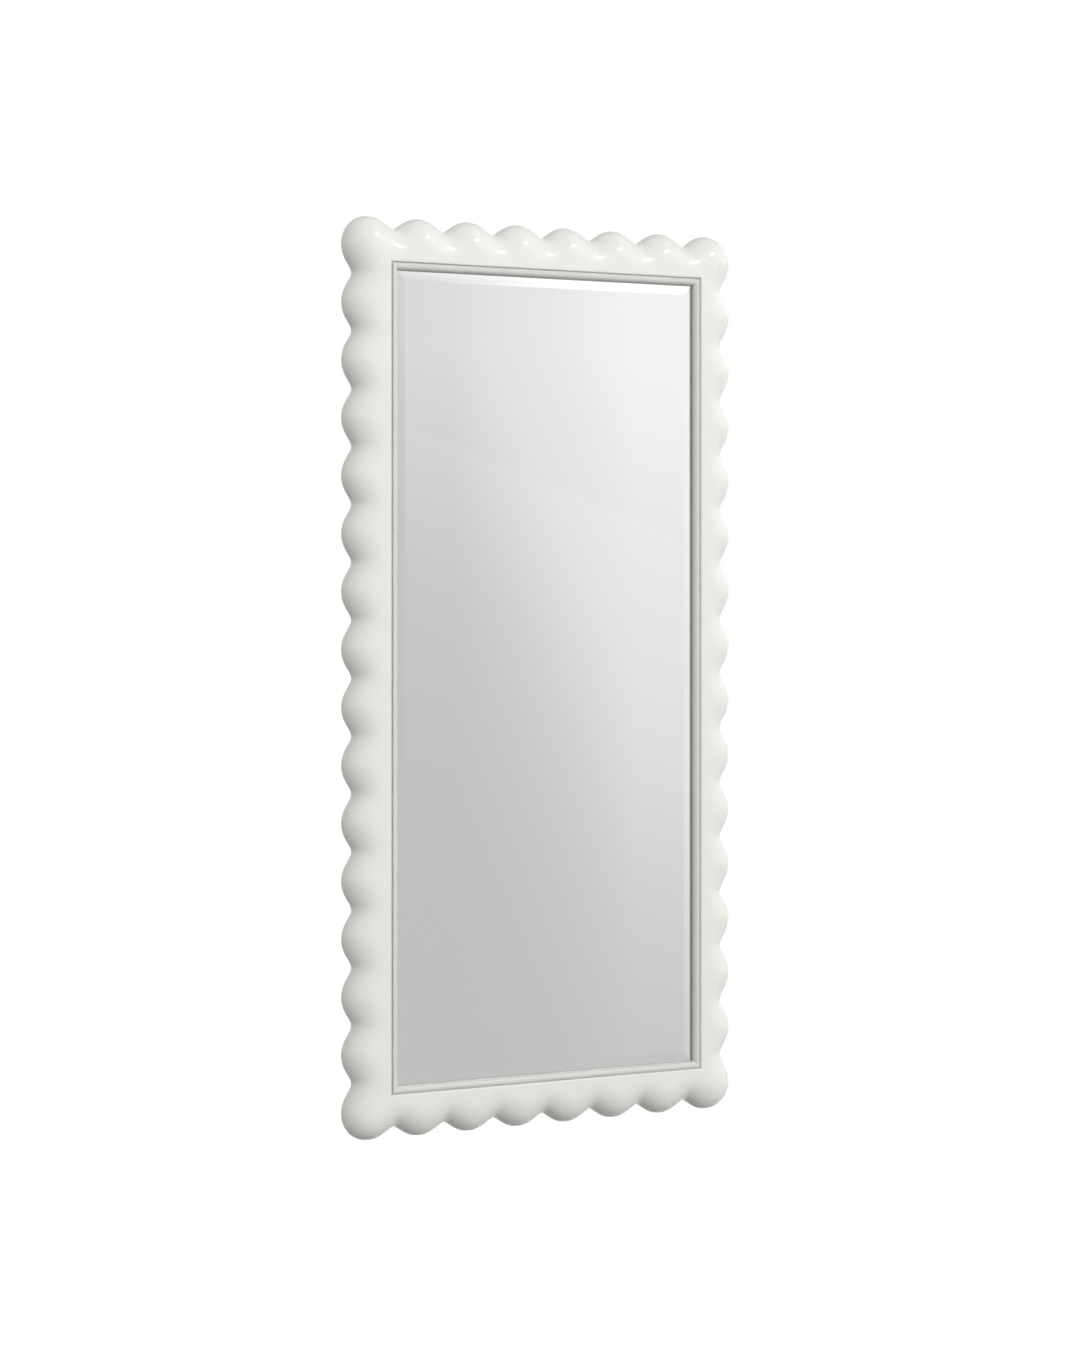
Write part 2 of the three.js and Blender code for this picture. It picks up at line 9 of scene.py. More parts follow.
import logging
import math
from contextlib import contextmanager
from dataclasses import dataclass, field
from enum import Enum
from typing import Callable, Iterator, Sequence

import bmesh
import bpy
import numpy as np
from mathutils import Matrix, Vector


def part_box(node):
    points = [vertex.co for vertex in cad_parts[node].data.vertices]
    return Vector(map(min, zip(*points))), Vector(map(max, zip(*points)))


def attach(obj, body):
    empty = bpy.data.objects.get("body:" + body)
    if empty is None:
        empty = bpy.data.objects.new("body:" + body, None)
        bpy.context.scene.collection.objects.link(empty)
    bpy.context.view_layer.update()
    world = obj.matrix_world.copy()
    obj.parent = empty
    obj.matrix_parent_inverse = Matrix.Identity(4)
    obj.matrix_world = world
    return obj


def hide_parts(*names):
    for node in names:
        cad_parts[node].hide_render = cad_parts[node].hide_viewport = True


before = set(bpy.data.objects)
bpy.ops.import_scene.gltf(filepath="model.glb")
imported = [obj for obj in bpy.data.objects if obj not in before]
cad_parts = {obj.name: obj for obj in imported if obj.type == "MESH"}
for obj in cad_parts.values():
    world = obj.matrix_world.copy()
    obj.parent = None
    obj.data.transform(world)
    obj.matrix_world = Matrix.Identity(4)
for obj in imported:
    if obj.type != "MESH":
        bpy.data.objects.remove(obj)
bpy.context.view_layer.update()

LOG = logging.getLogger("mirror")
MM = 0.001
FACING = 0.9
TOUCHING = 1e-5
BODY = "frame"

PartTest = Callable[[Vector, Vector], bool]
Piece = bpy.types.Object
Socket = bpy.types.NodeSocket
Colour = tuple[float, float, float, float]
WHITE: Colour = (1.0, 1.0, 1.0, 1.0)


# --- sizes


class Side(Enum):
    """The four sides of the frame, seen from the front."""

    BOTTOM = "bottom"
    TOP = "top"
    LEFT = "left"
    RIGHT = "right"

    @property
    def is_upright(self) -> bool:
        """Whether the moulding on this side stands."""
        return self in (Side.LEFT, Side.RIGHT)

    @property
    def node(self) -> str:
        """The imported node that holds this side's moulding."""
        return f"{self.value}_stile" if self.is_upright else f"{self.value}_rail"


@dataclass(frozen=True)
class FrameSizes:
    """The frame's sizes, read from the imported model.

    Insets run from the outer lines of the scallops towards the glass, depths from the front
    face towards the wall.
    """

    pitch: float
    scallops_across: int
    scallops_high: int
    floor_flat: float
    front: float
    back: float
    groove_inset: float
    tongue_inset: float
    sight_inset: float
    lip_depth: float
    recess_inset: float
    shoulder_depth: float

    @property
    def width(self) -> float:
        """Overall width."""
        return self.scallops_across * self.pitch

    @property
    def height(self) -> float:
        """Height of the scalloped outline before its feet are planed flat."""
        return self.scallops_high * self.pitch

    @property
    def depth(self) -> float:
        """Depth of the mouldings."""
        return self.back - self.front

    def scallops_on(self, side: Side) -> int:
        """Number of scallops along one side, both corner ones included."""
        return self.scallops_high if side.is_upright else self.scallops_across

    def length_of(self, side: Side) -> float:
        """Outer length of one side."""
        return self.scallops_on(side) * self.pitch

    def place(
        self, side: Side, along: np.ndarray, inset: np.ndarray, depth: np.ndarray
    ) -> np.ndarray:
        """Turns rail coordinates into the object's own.

        Args:
            side: Side of the frame that the points belong to.
            along: Distances from the rail's left end, seen with its outer edge down.
            inset: Distances from the outer line.
            depth: Distances behind the front face.

        Returns:
            An array of points, three numbers each.
        """
        run = along - self.length_of(side) / 2
        middle = self.height / 2 - self.floor_flat
        half_width, half_height = self.width / 2, self.height / 2
        across, up = {
            Side.BOTTOM: (run, middle - half_height + inset),
            Side.TOP: (-run, middle + half_height - inset),
            Side.LEFT: (inset - half_width, middle - run),
            Side.RIGHT: (half_width - inset, middle + run),
        }[side]
        return np.stack([across, self.front + depth, up], axis=-1)


def read_sizes() -> FrameSizes:
    """Reads the frame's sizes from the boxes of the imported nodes.

    Returns:
        The sizes in metres.
    """
    across, high = 8, 16
    gap = 0.3 * MM
    stile_low, stile_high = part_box("left_stile")
    bead_low, bead_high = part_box("left_bead")
    panel_low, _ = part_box("back_panel")
    rail_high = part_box("top_rail")[1]
    half_width = -stile_low.x
    pitch = 2 * half_width / across
    return FrameSizes(
        pitch=pitch,
        scallops_across=across,
        scallops_high=high,
        floor_flat=high * pitch - rail_high.z,
        front=stile_low.y,
        back=stile_high.y,
        groove_inset=half_width + bead_low.x - gap,
        tongue_inset=half_width + stile_high.x,
        sight_inset=half_width + bead_high.x,
        lip_depth=bead_high.y - bead_low.y,
        recess_inset=half_width + panel_low.x - 1 * MM,
        shoulder_depth=panel_low.y - gap - stile_low.y,
    )


# --- workbench


def quarter(start: tuple[float, float], reach: float, fall: float, steps: int) -> np.ndarray:
    """Points of a quarter-ellipse in a section, from across the face to along it.

    Args:
        start: Inset and depth where it starts.
        reach: How far it goes inwards.
        fall: How far it goes back.
        steps: Number of points.

    Returns:
        One row of inset and depth for each point.
    """
    angle = np.linspace(0, np.pi / 2, steps)
    return np.stack(
        [start[0] + reach * np.sin(angle), start[1] + fall * (1 - np.cos(angle))], axis=1
    )


def deselect_everything() -> None:
    """Leaves no object selected and no object in edit mode."""
    if bpy.context.object and bpy.context.object.mode != "OBJECT":
        bpy.ops.object.mode_set(mode="OBJECT")
    bpy.ops.object.select_all(action="DESELECT")


@contextmanager
def editing(piece: Piece) -> Iterator[None]:
    """Holds a piece in edit mode, with nothing in it selected at first.

    Args:
        piece: Mesh object to edit.
    """
    take_up(piece)
    bpy.ops.object.mode_set(mode="EDIT")
    bpy.ops.mesh.select_mode(type="FACE")
    bpy.ops.mesh.select_all(action="DESELECT")
    yield
    bpy.ops.object.mode_set(mode="OBJECT")


def take_up(piece: Piece) -> None:
    """Makes a piece the only selected and the active object."""
    deselect_everything()
    piece.select_set(True)
    bpy.context.view_layer.objects.active = piece


def pick_faces(piece: Piece, test: PartTest) -> None:
    """Selects the faces of an edited piece by their centre and normal.

    Args:
        piece: The piece in edit mode.
        test: Takes a face's centre and normal, and says whether it is wanted.
    """
    bpy.ops.mesh.select_mode(type="FACE")
    mesh = bmesh.from_edit_mesh(piece.data)
    for face in mesh.faces:
        face.select_set(bool(test(face.calc_center_median(), face.normal)))
    bmesh.update_edit_mesh(piece.data)


def pick_edges(piece: Piece, test: PartTest, only_open: bool = False) -> None:
    """Selects the edges of an edited piece by their two ends.

    Args:
        piece: The piece in edit mode.
        test: Takes both ends of an edge, and says whether it is wanted.
        only_open: Leaves out every edge that has two faces.
    """
    bpy.ops.mesh.select_all(action="DESELECT")
    bpy.ops.mesh.select_mode(type="EDGE")
    mesh = bmesh.from_edit_mesh(piece.data)
    for edge in mesh.edges:
        if only_open and not edge.is_boundary:
            continue
        edge.select_set(bool(test(edge.verts[0].co, edge.verts[1].co)))
    bmesh.update_edit_mesh(piece.data)


def extrude(shift: Sequence[float]) -> None:
    """Extrudes what is selected by a shift."""
    bpy.ops.mesh.extrude_region_move(TRANSFORM_OT_translate={"value": tuple(shift)})


def make_box(name: str, low: Vector, high: Vector) -> Piece:
    """Adds a box between two corners, with its place in its mesh.

    Args:
        name: Name of the piece.
        low: Lowest corner.
        high: Highest corner.

    Returns:
        The new object.
    """
    deselect_everything()
    bpy.ops.mesh.primitive_cube_add(size=1, location=(low + high) / 2, scale=high - low)
    return settle(name)


def settle(name: str) -> Piece:
    """Names the piece just added, and moves its place into its mesh.

    Args:
        name: Name of the piece.

    Returns:
        The active object.
    """
    piece = bpy.context.object
    piece.name = name
    piece.data.name = name
    bpy.ops.object.transform_apply(location=True, rotation=True, scale=True)
    return piece


def ease_edges(piece: Piece, width: float, segments: int = 2, angle: float = 35) -> None:
    """Rounds the sharp edges of a piece with an applied Bevel modifier.

    Args:
        piece: Piece to round.
        width: Width of the rounding.
        segments: Steps across the rounding.
        angle: Least angle between two faces, in degrees, that counts as an edge.
    """
    take_up(piece)
    bevel = piece.modifiers.new("eased_edges", "BEVEL")
    bevel.width = width
    bevel.segments = segments
    bevel.limit_method = "ANGLE"
    bevel.angle_limit = math.radians(angle)
    bevel.harden_normals = False
    bpy.ops.object.modifier_apply(modifier=bevel.name)


def cut_away(piece: Piece, cutter: Piece) -> None:
    """Cuts one piece out of another and throws the cutter away.

    Args:
        piece: Piece that is kept.
        cutter: Piece that is taken out of it.
    """
    take_up(piece)
    boolean = piece.modifiers.new("recess", "BOOLEAN")
    boolean.operation = "DIFFERENCE"
    boolean.solver = "EXACT"
    boolean.object = cutter
    bpy.ops.object.modifier_apply(modifier=boolean.name)
    bpy.data.objects.remove(cutter)


def copy_piece(piece: Piece, name: str, shift: Vector) -> Piece:
    """Copies a piece with a mesh of its own, moved in that mesh.

    Args:
        piece: Piece to copy.
        name: Name of the copy.
        shift: How far the copy lies from the original.

    Returns:
        The copy.
    """
    twin = piece.copy()
    twin.data = piece.data.copy()
    twin.name = name
    twin.data.name = name
    bpy.context.scene.collection.objects.link(twin)
    coordinates = np.empty(len(twin.data.vertices) * 3)
    twin.data.vertices.foreach_get("co", coordinates)
    moved = coordinates.reshape(-1, 3) + np.array(shift)
    twin.data.vertices.foreach_set("co", moved.ravel())
    twin.data.update()
    return twin


def tidy_mesh(piece: Piece, smooth_angle: float = 35) -> None:
    """Merges doubles, turns the faces outwards and smooths all but the sharp edges.

    Args:
        piece: Piece to finish.
        smooth_angle: Edges up to this angle, in degrees, are shaded smooth.
    """
    with editing(piece):
        bpy.ops.mesh.select_all(action="SELECT")
        bpy.ops.mesh.remove_doubles(threshold=1e-6)
        bpy.ops.mesh.normals_make_consistent(inside=False)
    take_up(piece)
    bpy.ops.object.shade_smooth_by_angle(angle=math.radians(smooth_angle))


def dress(piece: Piece, material: bpy.types.Material) -> None:
    """Gives a piece one finish, in place of any other."""
    piece.data.materials.clear()
    piece.data.materials.append(material)


def hand_over(
    piece: Piece, material: bpy.types.Material, slot: str, body: str, *nodes: str
) -> None:
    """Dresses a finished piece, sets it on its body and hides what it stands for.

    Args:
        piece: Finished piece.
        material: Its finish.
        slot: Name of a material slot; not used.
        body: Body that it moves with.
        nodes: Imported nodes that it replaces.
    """
    dress(piece, material)
    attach(piece, body)
    if nodes:
        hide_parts(*nodes)
    LOG.info("%s: %d faces, stands for %s", piece.name, len(piece.data.polygons), ", ".join(nodes))


# --- shader effects


class Sheet:
    """A node tree, with short ways to add and join nodes."""

    def __init__(self, tree: bpy.types.NodeTree) -> None:
        """Empties the tree.

        Args:
            tree: Tree of a material, a world or a group.
        """
        self.tree = tree
        self.tree.nodes.clear()

    def add(self, kind: str, inputs: dict | None = None, **settings: object) -> bpy.types.Node:
        """Adds a node.

        Args:
            kind: Node type.
            inputs: Values or sockets for its inputs, by name or number.
            settings: Attributes of the node.

        Returns:
            The new node.
        """
        node = self.tree.nodes.new(kind)
        for key, value in settings.items():
            setattr(node, key, value)
        for key, value in (inputs or {}).items():
            self.feed(node.inputs[key], value)
        return node

    def feed(self, socket: Socket, value: object) -> None:
        """Links a socket to another one, or sets its value."""
        if isinstance(value, Socket):
            self.tree.links.new(value, socket)
        else:
            socket.default_value = value

    def math(
        self, operation: str, first: object, second: object = 0.0, third: object = 0.0
    ) -> Socket:
        """Adds a Math node and returns its value."""
        inputs = {0: first, 1: second, 2: third}
        return self.add("ShaderNodeMath", inputs, operation=operation).outputs[0]

    def noise(
        self, vector: object, scale: object, detail: float = 2.0, rough: float = 0.5
    ) -> Socket:
        """Adds a noise texture and returns its value."""
        inputs = {"Vector": vector, "Scale": scale, "Detail": detail, "Roughness": rough}
        return self.add("ShaderNodeTexNoise", inputs).outputs[0]

    def spread(
        self, value: object, low: object, high: object, start: float = 0.0, end: float = 1.0
    ) -> Socket:
        """Maps a value from start..end to low..high, held at both ends."""
        inputs = {0: value, 1: start, 2: end, 3: low, 4: high}
        return self.add("ShaderNodeMapRange", inputs, clamp=True).outputs[0]

    def blend(self, share: object, first: object, second: object, kind: str = "MIX") -> Socket:
        """Mixes two colours and returns the result."""
        node = self.add("ShaderNodeMix", data_type="RGBA", blend_type=kind)
        self.feed(node.inputs[0], share)
        self.feed(node.inputs[6], first)
        self.feed(node.inputs[7], second)
        return node.outputs[2]


class Effect(Enum):
    """Surface effects that several finishes share, each kept as one node group."""

    SPRAYED_SKIN = "sprayed_skin"
    TONE_DRIFT = "tone_drift"
    HANDLING = "handling"
    LONG_GRAIN = "long_grain"
    WORN_EDGE = "worn_edge"


def new_group(
    effect: Effect, inputs: dict[str, float | None], outputs: Sequence[str]
) -> tuple[Sheet, dict[str, Socket], bpy.types.Node]:
    """Starts a shader group with named sockets.

    Args:
        effect: The effect that the group makes.
        inputs: Default of each number input, or None for a vector.
        outputs: Names of its number outputs.

    Returns:
        The group's sheet, its input sockets by name, and its output node.
    """
    tree = bpy.data.node_groups.new(effect.value, "ShaderNodeTree")
    for name, value in inputs.items():
        kind = "NodeSocketVector" if value is None else "NodeSocketFloat"
        socket = tree.interface.new_socket(name=name, in_out="INPUT", socket_type=kind)
        if value is not None:
            socket.default_value = value
    for name in outputs:
        tree.interface.new_socket(name=name, in_out="OUTPUT", socket_type="NodeSocketFloat")
    sheet = Sheet(tree)
    source = sheet.add("NodeGroupInput")
    return sheet, {name: source.outputs[name] for name in inputs}, sheet.add("NodeGroupOutput")


def make_sprayed_skin() -> bpy.types.NodeTree:
    """Makes the fine pebble and the slow flow of a sprayed coat, as a height."""
    sheet, given, out = new_group(
        Effect.SPRAYED_SKIN, {"Place": None, "Pebble": 420.0, "Flow": 26.0}, ["Height"]
    )
    pebble = sheet.noise(given["Place"], given["Pebble"], 1.0)
    flow = sheet.noise(given["Place"], given["Flow"])
    both = sheet.math("MULTIPLY_ADD", flow, 2.0, pebble)
    sheet.feed(out.inputs["Height"], sheet.math("MULTIPLY", both, 1 / 3))
    return sheet.tree


def make_tone_drift() -> bpy.types.NodeTree:
    """Makes a slow change of tone over the surface, as a factor near one."""
    sheet, given, out = new_group(
        Effect.TONE_DRIFT, {"Place": None, "Patch": 3.0, "Amount": 0.03}, ["Tone"]
    )
    patches = sheet.noise(given["Place"], given["Patch"], 3.0, 0.6)
    centred = sheet.math("SUBTRACT", patches, 0.5)
    sheet.feed(out.inputs["Tone"], sheet.math("MULTIPLY_ADD", centred, given["Amount"], 1.0))
    return sheet.tree


def make_handling() -> bpy.types.NodeTree:
    """Makes the uneven shine that cleaning and hands leave, as a roughness."""
    sheet, given, out = new_group(
        Effect.HANDLING, {"Place": None, "Marks": 9.0, "Least": 0.3, "Most": 0.4}, ["Roughness"]
    )
    smears = sheet.noise(given["Place"], given["Marks"], 4.0, 0.65)
    rough = sheet.spread(smears, given["Least"], given["Most"], 0.3, 0.7)
    sheet.feed(out.inputs["Roughness"], rough)
    return sheet.tree


def make_long_grain() -> bpy.types.NodeTree:
    """Makes fibres drawn out along one direction, as a mask and a height."""
    sheet, given, out = new_group(
        Effect.LONG_GRAIN, {"Place": None, "Fibres": 120.0, "Contrast": 1.0}, ["Mask", "Height"]
    )
    coarse = sheet.noise(given["Place"], given["Fibres"], 5.0, 0.7)
    mask = sheet.spread(coarse, 0.0, 1.0, 0.35, 0.65)
    sheet.feed(out.inputs["Mask"], sheet.math("MULTIPLY", mask, given["Contrast"]))
    sheet.feed(out.inputs["Height"], coarse)
    return sheet.tree


def make_worn_edge() -> bpy.types.NodeTree:
    """Makes a broken mask along the convex edges."""
    sheet, given, out = new_group(
        Effect.WORN_EDGE, {"Place": None, "Start": 0.52, "End": 0.6, "Breaks": 90.0}, ["Mask"]
    )
    bend = sheet.add("ShaderNodeNewGeometry").outputs["Pointiness"]
    edge = sheet.add("ShaderNodeMapRange", {0: bend, 1: given["Start"], 2: given["End"]})
    breaks = sheet.noise(given["Place"], given["Breaks"], 3.0)
    broken = sheet.spread(breaks, 0.0, 1.0, 0.4, 0.6)
    sheet.feed(out.inputs["Mask"], sheet.math("MULTIPLY", edge.outputs[0], broken))
    return sheet.tree


EFFECT_MAKERS = {
    Effect.SPRAYED_SKIN: make_sprayed_skin,
    Effect.TONE_DRIFT: make_tone_drift,
    Effect.HANDLING: make_handling,
    Effect.LONG_GRAIN: make_long_grain,
    Effect.WORN_EDGE: make_worn_edge,
}


class MaterialSheet(Sheet):
    """The node tree of one material, with its surface shader and its place on the piece."""

    def __init__(self, name: str, stretch: Sequence[float] = (1.0, 1.0, 1.0)) -> None:
        """Starts a material.

        Args:
            name: Name of the material.
            stretch: How much the pattern is squeezed along X, Y and Z.
        """
        self.material = bpy.data.materials.new(name)
        self.material.use_nodes = True
        super().__init__(self.material.node_tree)
        where = self.add("ShaderNodeTexCoord").outputs["Object"]
        mapping = self.add("ShaderNodeMapping", {"Vector": where, "Scale": tuple(stretch)})
        self.place = mapping.outputs[0]
        self.surface = self.add("ShaderNodeBsdfPrincipled")
        output = self.add("ShaderNodeOutputMaterial")
        self.feed(output.inputs["Surface"], self.surface.outputs[0])

    def set(self, **values: object) -> None:
        """Sets or links sockets of the surface shader; an underscore stands for a space."""
        for name, value in values.items():
            self.feed(self.surface.inputs[name.replace("_", " ")], value)

    def effect(self, effect: Effect, output: str, **values: float) -> Socket:
        """Places a shared effect, made on its first use.

        Args:
            effect: Which effect.
            output: Which of its outputs is wanted.
            values: Its inputs.

        Returns:
            The output socket.
        """
        tree = bpy.data.node_groups.get(effect.value) or EFFECT_MAKERS[effect]()
        node = self.add("ShaderNodeGroup", node_tree=tree)
        self.feed(node.inputs["Place"], self.place)
        for name, value in values.items():
            self.feed(node.inputs[name], value)
        return node.outputs[output]

    def colour(self, colour: object, patch: float, amount: float, shade: float = 1.0) -> None:
        """Sets a base colour whose tone drifts slowly over the piece.

        Args:
            colour: Colour or colour socket.
            patch: Patches for each metre.
            amount: How much the tone drifts.
            shade: Factor on the whole colour; below one it darkens it as painted shade.
        """
        drift = self.effect(Effect.TONE_DRIFT, "Tone", Patch=patch, Amount=amount)
        tone = self.math("MULTIPLY", drift, shade)
        grey = self.add("ShaderNodeCombineColor", {0: tone, 1: tone, 2: tone}).outputs[0]
        self.set(Base_Color=self.blend(1.0, colour, grey, "MULTIPLY"))

    def shine(self, marks: float, least: float, most: float) -> None:
        """Sets a roughness that cleaning and hands have made uneven."""
        self.set(
            Roughness=self.effect(
                Effect.HANDLING, "Roughness", Marks=marks, Least=least, Most=most
            )
        )

    def emboss(self, height: Socket, strength: float, distance: float) -> None:
        """Raises the surface by a height through a Bump node."""
        inputs = {"Strength": strength, "Distance": distance, "Height": height}
        self.set(Normal=self.add("ShaderNodeBump", inputs).outputs[0])

    def fibres(self, scale: float, strength: float, distance: float) -> None:
        """Embosses the surface with fibres."""
        self.emboss(self.effect(Effect.LONG_GRAIN, "Height", Fibres=scale), strength, distance)


# --- finishes


@dataclass(frozen=True)
class Lacquer:
    """Off-white satin lacquer, sprayed over shaped wood."""

    name: str = "satin_lacquer"
    # Below one, shade darkens the whole colour as painted shade.
    shade: float = 1.0
    colour: Colour = (0.79, 0.80, 0.745, 1.0)
    worn: Colour = (0.86, 0.86, 0.82, 1.0)
    pebble_size: float = 2.4 * MM
    peel: float = 0.10
    sheen_low: float = 0.19
    sheen_high: float = 0.25
    specular: float = 0.25
    coat_rough: float = 0.11

    def build(self) -> bpy.types.Material:
        """Makes the material."""
        sheet = MaterialSheet(self.name)
        rub = sheet.effect(Effect.WORN_EDGE, "Mask", Start=0.53, End=0.66)
        rubbed = sheet.blend(sheet.math("MULTIPLY", rub, 0.35), self.colour, self.worn)
        sheet.colour(rubbed, 2.2, 0.035, self.shade)
        sheet.shine(5.0, self.sheen_low, self.sheen_high)
        sheet.set(Specular_IOR_Level=self.specular)
        sheet.set(Coat_Weight=1.0, Coat_Roughness=self.coat_rough)
        skin = sheet.effect(Effect.SPRAYED_SKIN, "Height", Pebble=1 / self.pebble_size, Flow=22.0)
        sheet.emboss(skin, self.peel, 0.4 * MM)
        return sheet.material


@dataclass(frozen=True)
class SilveredGlass:
    """Clear plate with silver behind it, polished all over."""

    tint: Colour = (0.925, 0.93, 0.928, 1.0)

    def build(self) -> bpy.types.Material:
        """Makes the material."""
        sheet = MaterialSheet("silvered_glass")
        sheet.colour(self.tint, 1.1, 0.012)
        sheet.set(Metallic=1.0)
        sheet.shine(3.5, 0.004, 0.022)
        return sheet.material


@dataclass(frozen=True)
class ZincPlate:
    """Bright zinc on pressed steel, with a faint spangle and rubbed edges."""

    colour: Colour = (0.56, 0.57, 0.58, 1.0)
    dull: Colour = (0.36, 0.37, 0.38, 1.0)

    def build(self) -> bpy.types.Material:
        """Makes the material."""
        sheet = MaterialSheet("zinc_plate")
        cells = sheet.add("ShaderNodeTexVoronoi", {"Vector": sheet.place, "Scale": 160.0})
        flake = sheet.spread(cells.outputs["Color"], 0.0, 0.55)
        plated = sheet.blend(flake, self.colour, self.dull)
        edge = sheet.effect(Effect.WORN_EDGE, "Mask", Start=0.52, End=0.62, Breaks=400.0)
        sheet.set(Base_Color=sheet.blend(edge, plated, (0.75, 0.75, 0.76, 1.0)), Metallic=1.0)
        sheet.shine(60.0, 0.28, 0.46)
        sheet.fibres(900.0, 0.12, 0.1 * MM)
        return sheet.material


@dataclass(frozen=True)
class Fibreboard:
    """Raw fibreboard: matted fibres, with a few dark chips."""

    light: Colour = (0.40, 0.27, 0.155, 1.0)
    dark: Colour = (0.27, 0.165, 0.085, 1.0)

    def build(self) -> bpy.types.Material:
        """Makes the material."""
        sheet = MaterialSheet("raw_fibreboard")
        mat = sheet.effect(Effect.LONG_GRAIN, "Mask", Fibres=260.0, Contrast=0.7)
        body = sheet.blend(mat, self.light, self.dark)
        chips = sheet.spread(sheet.noise(sheet.place, 620.0, 1.0), 0.0, 0.8, 0.66, 0.72)
        flecked = sheet.blend(chips, body, (0.12, 0.07, 0.035, 1.0))
        sheet.colour(flecked, 4.0, 0.18)
        sheet.shine(14.0, 0.74, 0.9)
        sheet.fibres(420.0, 0.35, 0.3 * MM)
        return sheet.material


@dataclass(frozen=True)
class Beech:
    """Pressed beech: pale wood with short flecks along its grain."""

    light: Colour = (0.60, 0.37, 0.19, 1.0)
    dark: Colour = (0.38, 0.20, 0.09, 1.0)

    def build(self) -> bpy.types.Material:
        """Makes the material."""
        sheet = MaterialSheet("pressed_beech", stretch=(1.0, 6.0, 1.0))
        flecks = sheet.effect(Effect.LONG_GRAIN, "Mask", Fibres=180.0, Contrast=0.8)
        sheet.set(Base_Color=sheet.blend(flecks, self.light, self.dark))
        sheet.shine(40.0, 0.6, 0.8)
        sheet.fibres(300.0, 0.3, 0.2 * MM)
        return sheet.material


@dataclass(frozen=True)
class MouldedRubber:
    """Black rubber with a fine moulded grain and a dusting on its faces."""

    colour: Colour = (0.028, 0.028, 0.029, 1.0)
    dusty: Colour = (0.085, 0.083, 0.08, 1.0)

    def build(self) -> bpy.types.Material:
        """Makes the material."""
        sheet = MaterialSheet("moulded_rubber")
        dust = sheet.spread(sheet.noise(sheet.place, 45.0, 4.0), 0.0, 0.6, 0.5, 0.75)
        sheet.set(Base_Color=sheet.blend(dust, self.colour, self.dusty))
        sheet.shine(80.0, 0.6, 0.82)
        skin = sheet.effect(Effect.SPRAYED_SKIN, "Height", Pebble=1900.0, Flow=300.0)
        sheet.emboss(skin, 0.25, 0.2 * MM)
        return sheet.material


@dataclass(frozen=True)
class CellFoam:
    """Dark closed-cell foam, pitted by its cells."""

    colour: Colour = (0.045, 0.046, 0.05, 1.0)

    def build(self) -> bpy.types.Material:
        """Makes the material."""
        sheet = MaterialSheet("cell_foam")
        cells = sheet.add("ShaderNodeTexVoronoi", {"Vector": sheet.place, "Scale": 900.0})
        pits = cells.outputs["Distance"]
        walls = sheet.spread(pits, 0.0, 0.7, 0.1, 0.6)
        sheet.set(Base_Color=sheet.blend(walls, self.colour, (0.1, 0.1, 0.105, 1.0)))
        sheet.shine(50.0, 0.88, 0.98)
        sheet.emboss(pits, 0.5, 0.4 * MM)
        return sheet.material


@dataclass(frozen=True)
class BackingFilm:
    """Grey adhesive film with faint wrinkles."""

    colour: Colour = (0.24, 0.245, 0.25, 1.0)

    def build(self) -> bpy.types.Material:
        """Makes the material."""
        sheet = MaterialSheet("backing_film", stretch=(1.0, 1.0, 0.35))
        sheet.colour(self.colour, 6.0, 0.1)
        sheet.shine(12.0, 0.4, 0.55)
        sheet.fibres(30.0, 0.2, 0.3 * MM)
        return sheet.material


# --- scalloped mouldings


